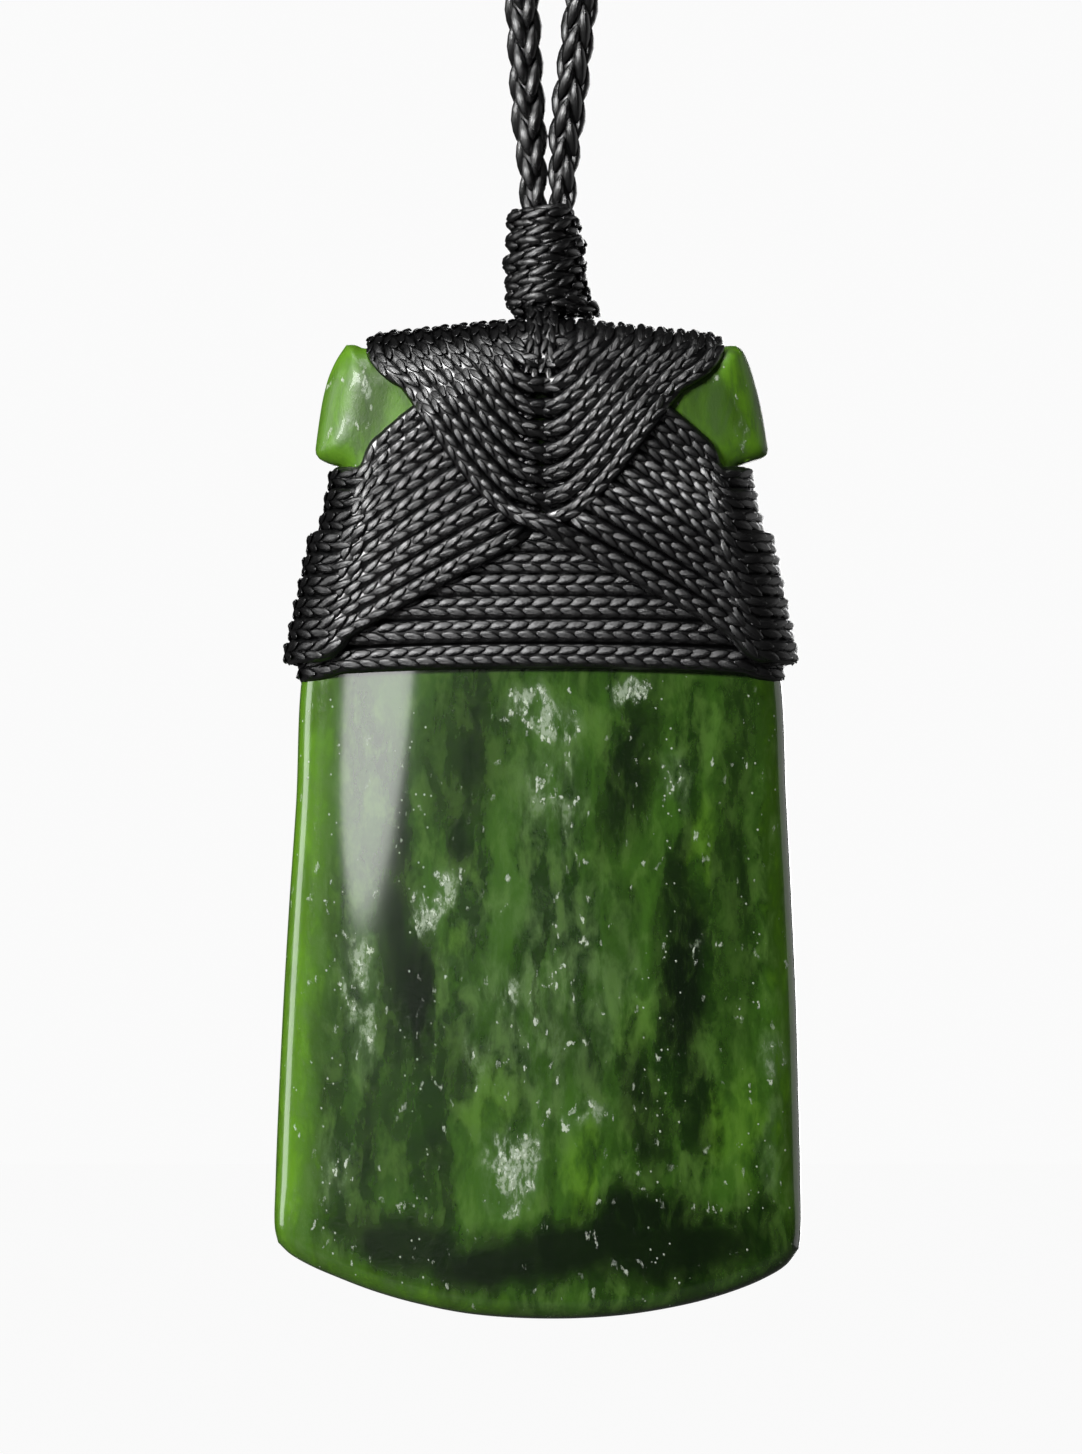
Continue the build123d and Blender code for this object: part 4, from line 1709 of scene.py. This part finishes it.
    def patches(self, maker: TreeMaker, group: bpy.types.NodeTree, place: bpy.types.NodeSocket,
                table: tuple[Patch, ...]) -> bpy.types.NodeSocket:
        """Add up the patches of a table.

        Args:
            maker: the maker of the material's nodes.
            group: the group of one patch.
            place: the place in the stone, in millimetres.
            table: the patches.

        Returns:
            The mask's output.
        """
        total = None
        wider, deep, higher = self.patch_growth
        for x, drop, half_width, half_height, tilt, strength in table:
            mask = maker.add("ShaderNodeGroup", node_tree=group)
            set_surface(maker, mask, {
                "Vector": place,
                "Middle": (x, 0.0, -drop),
                "Tilt": math.radians(tilt),
                "Size": (wider * half_width, deep, higher * half_height),
                "Strength": strength,
            })
            total = mask.outputs[0] if total is None else maker.most(total, mask.outputs[0])
        return total

    def grounds(self, maker: TreeMaker) -> StoneGrounds:
        """Find what the stone's colours are made from.

        Args:
            maker: the maker of the material's nodes.

        Returns:
            The places, noises and masks.
        """
        raw = maker.add("ShaderNodeTexCoord").outputs["Object"]
        place = maker.vectors("SUBTRACT", maker.scaled(raw, 1 / MM), (0.0, 0.0, HEAD_Z))
        broad, fine = [maker.scaled(maker.vectors("SUBTRACT", maker.noise(place, look)[1], GREY), size)
                       for look, size in self.bends]
        bent = maker.vectors("ADD", place, maker.vectors("ADD", broad, fine))
        mottle = maker.noise(place, self.mottle)[0]
        axes = maker.separate(place)
        drop = maker.times(axes[2], -1.0)
        group = self.patch_group()
        pale = self.patches(maker, group, bent, self.clouds)
        return StoneGrounds(
            place=place, bent=bent, side=axes[0], drop=drop, mottle=mottle,
            veins=maker.noise(bent, self.veins)[0],
            grain=maker.noise(place, self.grain)[0],
            rim=maker.add("ShaderNodeAttribute", attribute_name="rim").outputs["Fac"],
            ears=maker.mapped(drop, self.ear_drops),
            dark=self.patches(maker, group, bent, self.streaks),
            warm=self.patches(maker, group, bent, self.tongues),
            hazy=maker.times(pale, maker.mapped(mottle, self.haze_levels)))

    def painted_edge_light(self, maker: TreeMaker, on: StoneGrounds) -> bpy.types.NodeSocket:
        """Mark the painted light let through the thin edge and the ears.

        Args:
            maker: the maker of the material's nodes.
            on: what the colours are made from.

        Returns:
            The mask's output.
        """
        ragged = maker.maths("SUBTRACT", on.rim, maker.mapped(on.side, self.rim_across, self.rim_wider))
        for noise, size in zip((on.mottle, on.veins), self.rim_ragged):
            ragged = maker.plus(ragged, maker.times(maker.maths("SUBTRACT", noise, 0.5), size))
        ragged = maker.plus(ragged, maker.mapped(on.drop, self.foot_drops, self.foot_narrower))
        bright = maker.times(maker.mapped(ragged, self.rim_levels),
                             maker.mapped(on.veins, self.rim_vein_levels, self.rim_vein_shares))
        return maker.most(bright, maker.times(on.ears, maker.mapped(on.mottle, self.ear_mottle_levels)))

    def body(self, maker: TreeMaker, on: StoneGrounds) -> bpy.types.NodeSocket:
        """Colour the stone's body, with its painted edge light, without its clouds and flakes.

        Args:
            maker: the maker of the material's nodes.
            on: what the colours are made from.

        Returns:
            The colour's output.
        """
        body = maker.mixed(maker.mapped(on.veins, self.green_levels), self.deep, self.green)
        leafy = maker.times(maker.mapped(on.mottle, self.leaf_levels), self.leaf_share)
        body = maker.mixed(leafy, body, self.leaf)
        warm = maker.times(on.warm, maker.mapped(on.mottle, self.tongue_levels))
        warm = maker.times(warm, self.tongue_share)
        # painted light let through the thin edge and the ears, with the warm tongues
        bright = maker.times(maker.most(self.painted_edge_light(maker, on), warm), self.tongue_and_edge_light_share)
        body = maker.mixed(bright, body, self.rim_green)
        body = maker.mixed(maker.times(on.hazy, self.haze_share), body, self.haze)
        broken_up = maker.mapped(maker.plus(on.veins, on.mottle), self.break_levels, self.break_shares)
        shadow = maker.times(on.dark, maker.most(broken_up, maker.mapped(on.drop, self.whole_drops)))
        shadow = maker.times(shadow, maker.mapped(on.rim, self.shadow_rim, self.shadow_shares))
        return maker.mixed(shadow, body, self.black_green)

    def flakes(self, maker: TreeMaker, on: StoneGrounds) -> tuple[bpy.types.NodeSocket, ...]:
        """Mark the flakes in the clouds and the specks all over.

        Args:
            maker: the maker of the material's nodes.
            on: what the colours are made from.

        Returns:
            The flakes' mask and the specks' mask.
        """
        cells = maker.add("ShaderNodeTexVoronoi", {
            "Vector": maker.vectors("MULTIPLY", on.bent, (1.0, 1.0, self.flake_upright)),
            "Scale": self.flake_scale, "Randomness": 1.0}).outputs
        chance = maker.add("ShaderNodeSeparateColor", {0: cells["Color"]}).outputs[0]
        wanted = maker.plus(maker.times(maker.times(on.hazy, on.hazy), self.flake_haze),
                            maker.times(on.grain, self.flake_grain))
        flake = maker.times(maker.mapped(maker.plus(chance, wanted), self.flake_levels),
                            maker.mapped(cells["Distance"], self.flake_reach))
        small = maker.add("ShaderNodeTexVoronoi", {
            "Vector": maker.vectors("MULTIPLY", on.place, (1.0, 1.0, self.speck_upright)),
            "Scale": self.speck_scale, "Randomness": 1.0}).outputs
        few = maker.plus(maker.add("ShaderNodeSeparateColor", {0: small["Color"]}).outputs[1],
                         maker.times(on.mottle, self.speck_mottle))
        speck = maker.times(maker.mapped(small["Distance"], self.speck_reach),
                            maker.mapped(few, self.speck_levels))
        return flake, speck

    def material(self) -> bpy.types.Material:
        """Build the material.

        Returns:
            The material.
        """
        material, maker, shader = new_material(self.name)
        on = self.grounds(maker)
        flake, speck = self.flakes(maker, on)
        cloudy = maker.times(maker.mapped(on.hazy, self.cloud_levels),
                             maker.mapped(on.grain, self.cloud_grain_levels))
        colour = maker.mixed(maker.times(cloudy, self.cloud_share), self.body(maker, on), self.cloud)
        colour = maker.mixed(maker.times(flake, self.flake_share), colour, self.flake)
        colour = maker.mixed(maker.times(speck, self.speck_share), colour, self.flake)
        broken = maker.most(flake, speck)
        relief = maker.plus(maker.times(broken, self.relief[0]), maker.times(on.grain, self.relief[1]))
        whole = maker.maths("SUBTRACT", 1.0, maker.times(broken, self.coat_lost))
        set_surface(maker, shader, {
            "Base Color": colour,
            "Roughness": maker.plus(maker.times(broken, self.flake_roughness),
                                    maker.mapped(on.ears, (0.0, 1.0), self.roughness)),
            "Normal": maker.add("ShaderNodeBump", {"Strength": self.bump, "Distance": self.bump_depth * MM,
                                                   "Height": relief}).outputs[0],
            "Coat Weight": maker.times(whole, maker.mapped(on.ears, (0.0, 1.0), self.coat)),
            "Coat Roughness": self.coat_roughness,
            "Coat IOR": self.coat_index,
            "IOR": self.index,
            "Specular IOR Level": self.specular,
            "Subsurface Weight": self.subsurface,
            "Subsurface Radius": self.subsurface_radius,
            "Subsurface Scale": self.subsurface_depth * MM,
        })
        return material


@dataclass(frozen=True)
class PaleFloorFinish:
    """White paper under the pendant, as pale to the camera as the space round it, and dark to other rays."""

    colour: Colour = (0.010, 0.010, 0.010, 1.0)
    in_reflections: Colour = (0.05, 0.05, 0.05, 1.0)
    glow: Colour = (0.95, 0.95, 0.95, 1.0)
    grain: NoiseLook = NoiseLook(upright=1.0, scale=60.0, detail=3.0, roughness=0.55)
    grain_share: float = 0.06
    roughness: float = 0.9

    def material(self) -> bpy.types.Material:
        """Build the material.

        Returns:
            The material.
        """
        material, maker, shader = new_material("white paper")
        grain = maker.noise(maker.add("ShaderNodeTexCoord").outputs["Object"], self.grain)[0]
        tone = maker.mixed(maker.times(grain, self.grain_share), self.colour, BLACK)
        seen = maker.add("ShaderNodeLightPath").outputs["Is Camera Ray"]
        set_surface(maker, shader, {
            "Base Color": maker.mixed(seen, self.in_reflections, tone),
            "Roughness": self.roughness,
            "Emission Color": maker.mixed(seen, BLACK, self.glow),
            "Emission Strength": 1.0,
        })
        return material


@dataclass
class Studio:
    """Floor, lights and camera."""

    picture_height: float = 1454.0
    pixels_a_millimetre: float = 15.0
    centre_drop: float = 25.8
    distance: float = 620.0
    sensor_height: float = 36.0
    clip_start: float = 10.0
    floor_z: float = -560.0
    floor_reach: float = 4000.0
    world_in_reflections: Colour = (0.02, 0.02, 0.02, 1.0)
    world_seen: Colour = (0.96, 0.96, 0.96, 1.0)
    # name, place from the middle of the picture, size, turn on its own axis in degrees, power in watts
    soft_boxes: tuple[tuple[str, Triple, Pair, float, float], ...] = (
        ("window", (-186.0, -900.0, 12.0), (64.0, 108.0), -47.0, 0.115),
        ("key", (-500.0, -700.0, 290.0), (320.0, 210.0), 0.0, 10.5),
        ("top", (-170.0, -300.0, 640.0), (320.0, 300.0), 0.0, 2.6),
        ("under", (-60.0, -420.0, -560.0), (400.0, 240.0), 0.0, 0.7),
        ("right edge", (560.0, 240.0, 40.0), (500.0, 560.0), 0.0, 0.5),
        ("left side", (-720.0, -60.0, 120.0), (300.0, 400.0), 0.0, 1.4),
        ("behind", (200.0, 850.0, 100.0), (520.0, 420.0), 0.0, 3.0),
    )

    def middle(self) -> np.ndarray:
        """The place that the camera looks at, in millimetres."""
        return np.array([0.0, 0.0, HEAD_Z - self.centre_drop])

    def place_camera(self) -> None:
        """Set the camera straight in front, with the photograph's frame."""
        data = bpy.data.cameras.new("camera")
        data.sensor_fit = "VERTICAL"
        data.sensor_height = self.sensor_height
        data.lens = self.sensor_height * self.distance / (self.picture_height / self.pixels_a_millimetre)
        data.clip_start = self.clip_start * MM
        camera = bpy.data.objects.new("camera", data)
        camera.location = (self.middle() - np.array([0.0, self.distance, 0.0])) * MM
        camera.rotation_euler = (math.pi / 2, 0.0, 0.0)
        bpy.context.scene.collection.objects.link(camera)
        bpy.context.scene.camera = camera

    def place_lights(self) -> None:
        """Hang the soft boxes, each turned to the blade."""
        for name, place, size, turn, power in self.soft_boxes:
            data = bpy.data.lights.new(name, "AREA")
            data.shape = "ELLIPSE" if name == "window" else "RECTANGLE"
            data.size, data.size_y = size[0] * MM, size[1] * MM
            data.energy = power
            light = bpy.data.objects.new(name, data)
            light.location = (self.middle() + np.array(place)) * MM
            x, y, z = -np.array(place)
            aim = Euler((math.atan2(math.hypot(x, y), -z), 0.0, math.atan2(y, x) - math.pi / 2))
            turned = aim.to_quaternion() @ Quaternion((0, 0, 1), math.radians(turn))
            light.rotation_euler = turned.to_euler()
            bpy.context.scene.collection.objects.link(light)

    def set_world(self) -> None:
        """Make the space round the pendant pale to the camera and dark to other rays."""
        world = bpy.data.worlds.new("studio")
        world.use_nodes = True
        maker = TreeMaker(world.node_tree)
        seen = maker.add("ShaderNodeLightPath").outputs["Is Camera Ray"]
        maker.tree.links.new(maker.mixed(seen, self.world_in_reflections, self.world_seen),
                             world.node_tree.nodes["Background"].inputs["Color"])
        bpy.context.scene.world = world
        bpy.context.scene.view_settings.view_transform = "Standard"

    def build_floor(self) -> bpy.types.Object:
        """Build the floor, open on all sides so that the pendant can be seen from behind.

        Returns:
            The floor.
        """
        reach = self.floor_reach
        corners = ((-reach, -reach), (reach, -reach), (reach, reach), (-reach, reach))
        mesh = bpy.data.meshes.new("floor")
        mesh.from_pydata([(x * MM, y * MM, self.floor_z * MM) for x, y in corners], [], [(0, 1, 2, 3)])
        mesh.materials.append(PaleFloorFinish().material())
        floor = bpy.data.objects.new("floor", mesh)
        bpy.context.scene.collection.objects.link(floor)
        return floor


def main() -> None:
    """Build every sub-assembly in order."""
    logging.basicConfig(level=logging.INFO, format="%(name)s: %(message)s")
    studio = Studio()
    studio.place_camera()
    studio.place_lights()
    studio.set_world()
    studio.build_floor()

    form, levels = BoundForm(), CordLevels()
    flat, plait = flat_braid().tree(), round_plait().tree()
    binding_cord = WaxedCordFinish("waxed binding braid").material()
    plaited_cord = WaxedCordFinish("waxed plaited cord", fineness=13.0).material()

    NeckCord().build(plait, plaited_cord)
    Whipping().build(plait, plaited_cord)
    WaistTurns(form, levels).build(flat, binding_cord)
    CrossedTurns(form, levels).build(flat, binding_cord)
    Blade(form).build(JadeFinish().material())


if __name__ == "__main__":
    main()
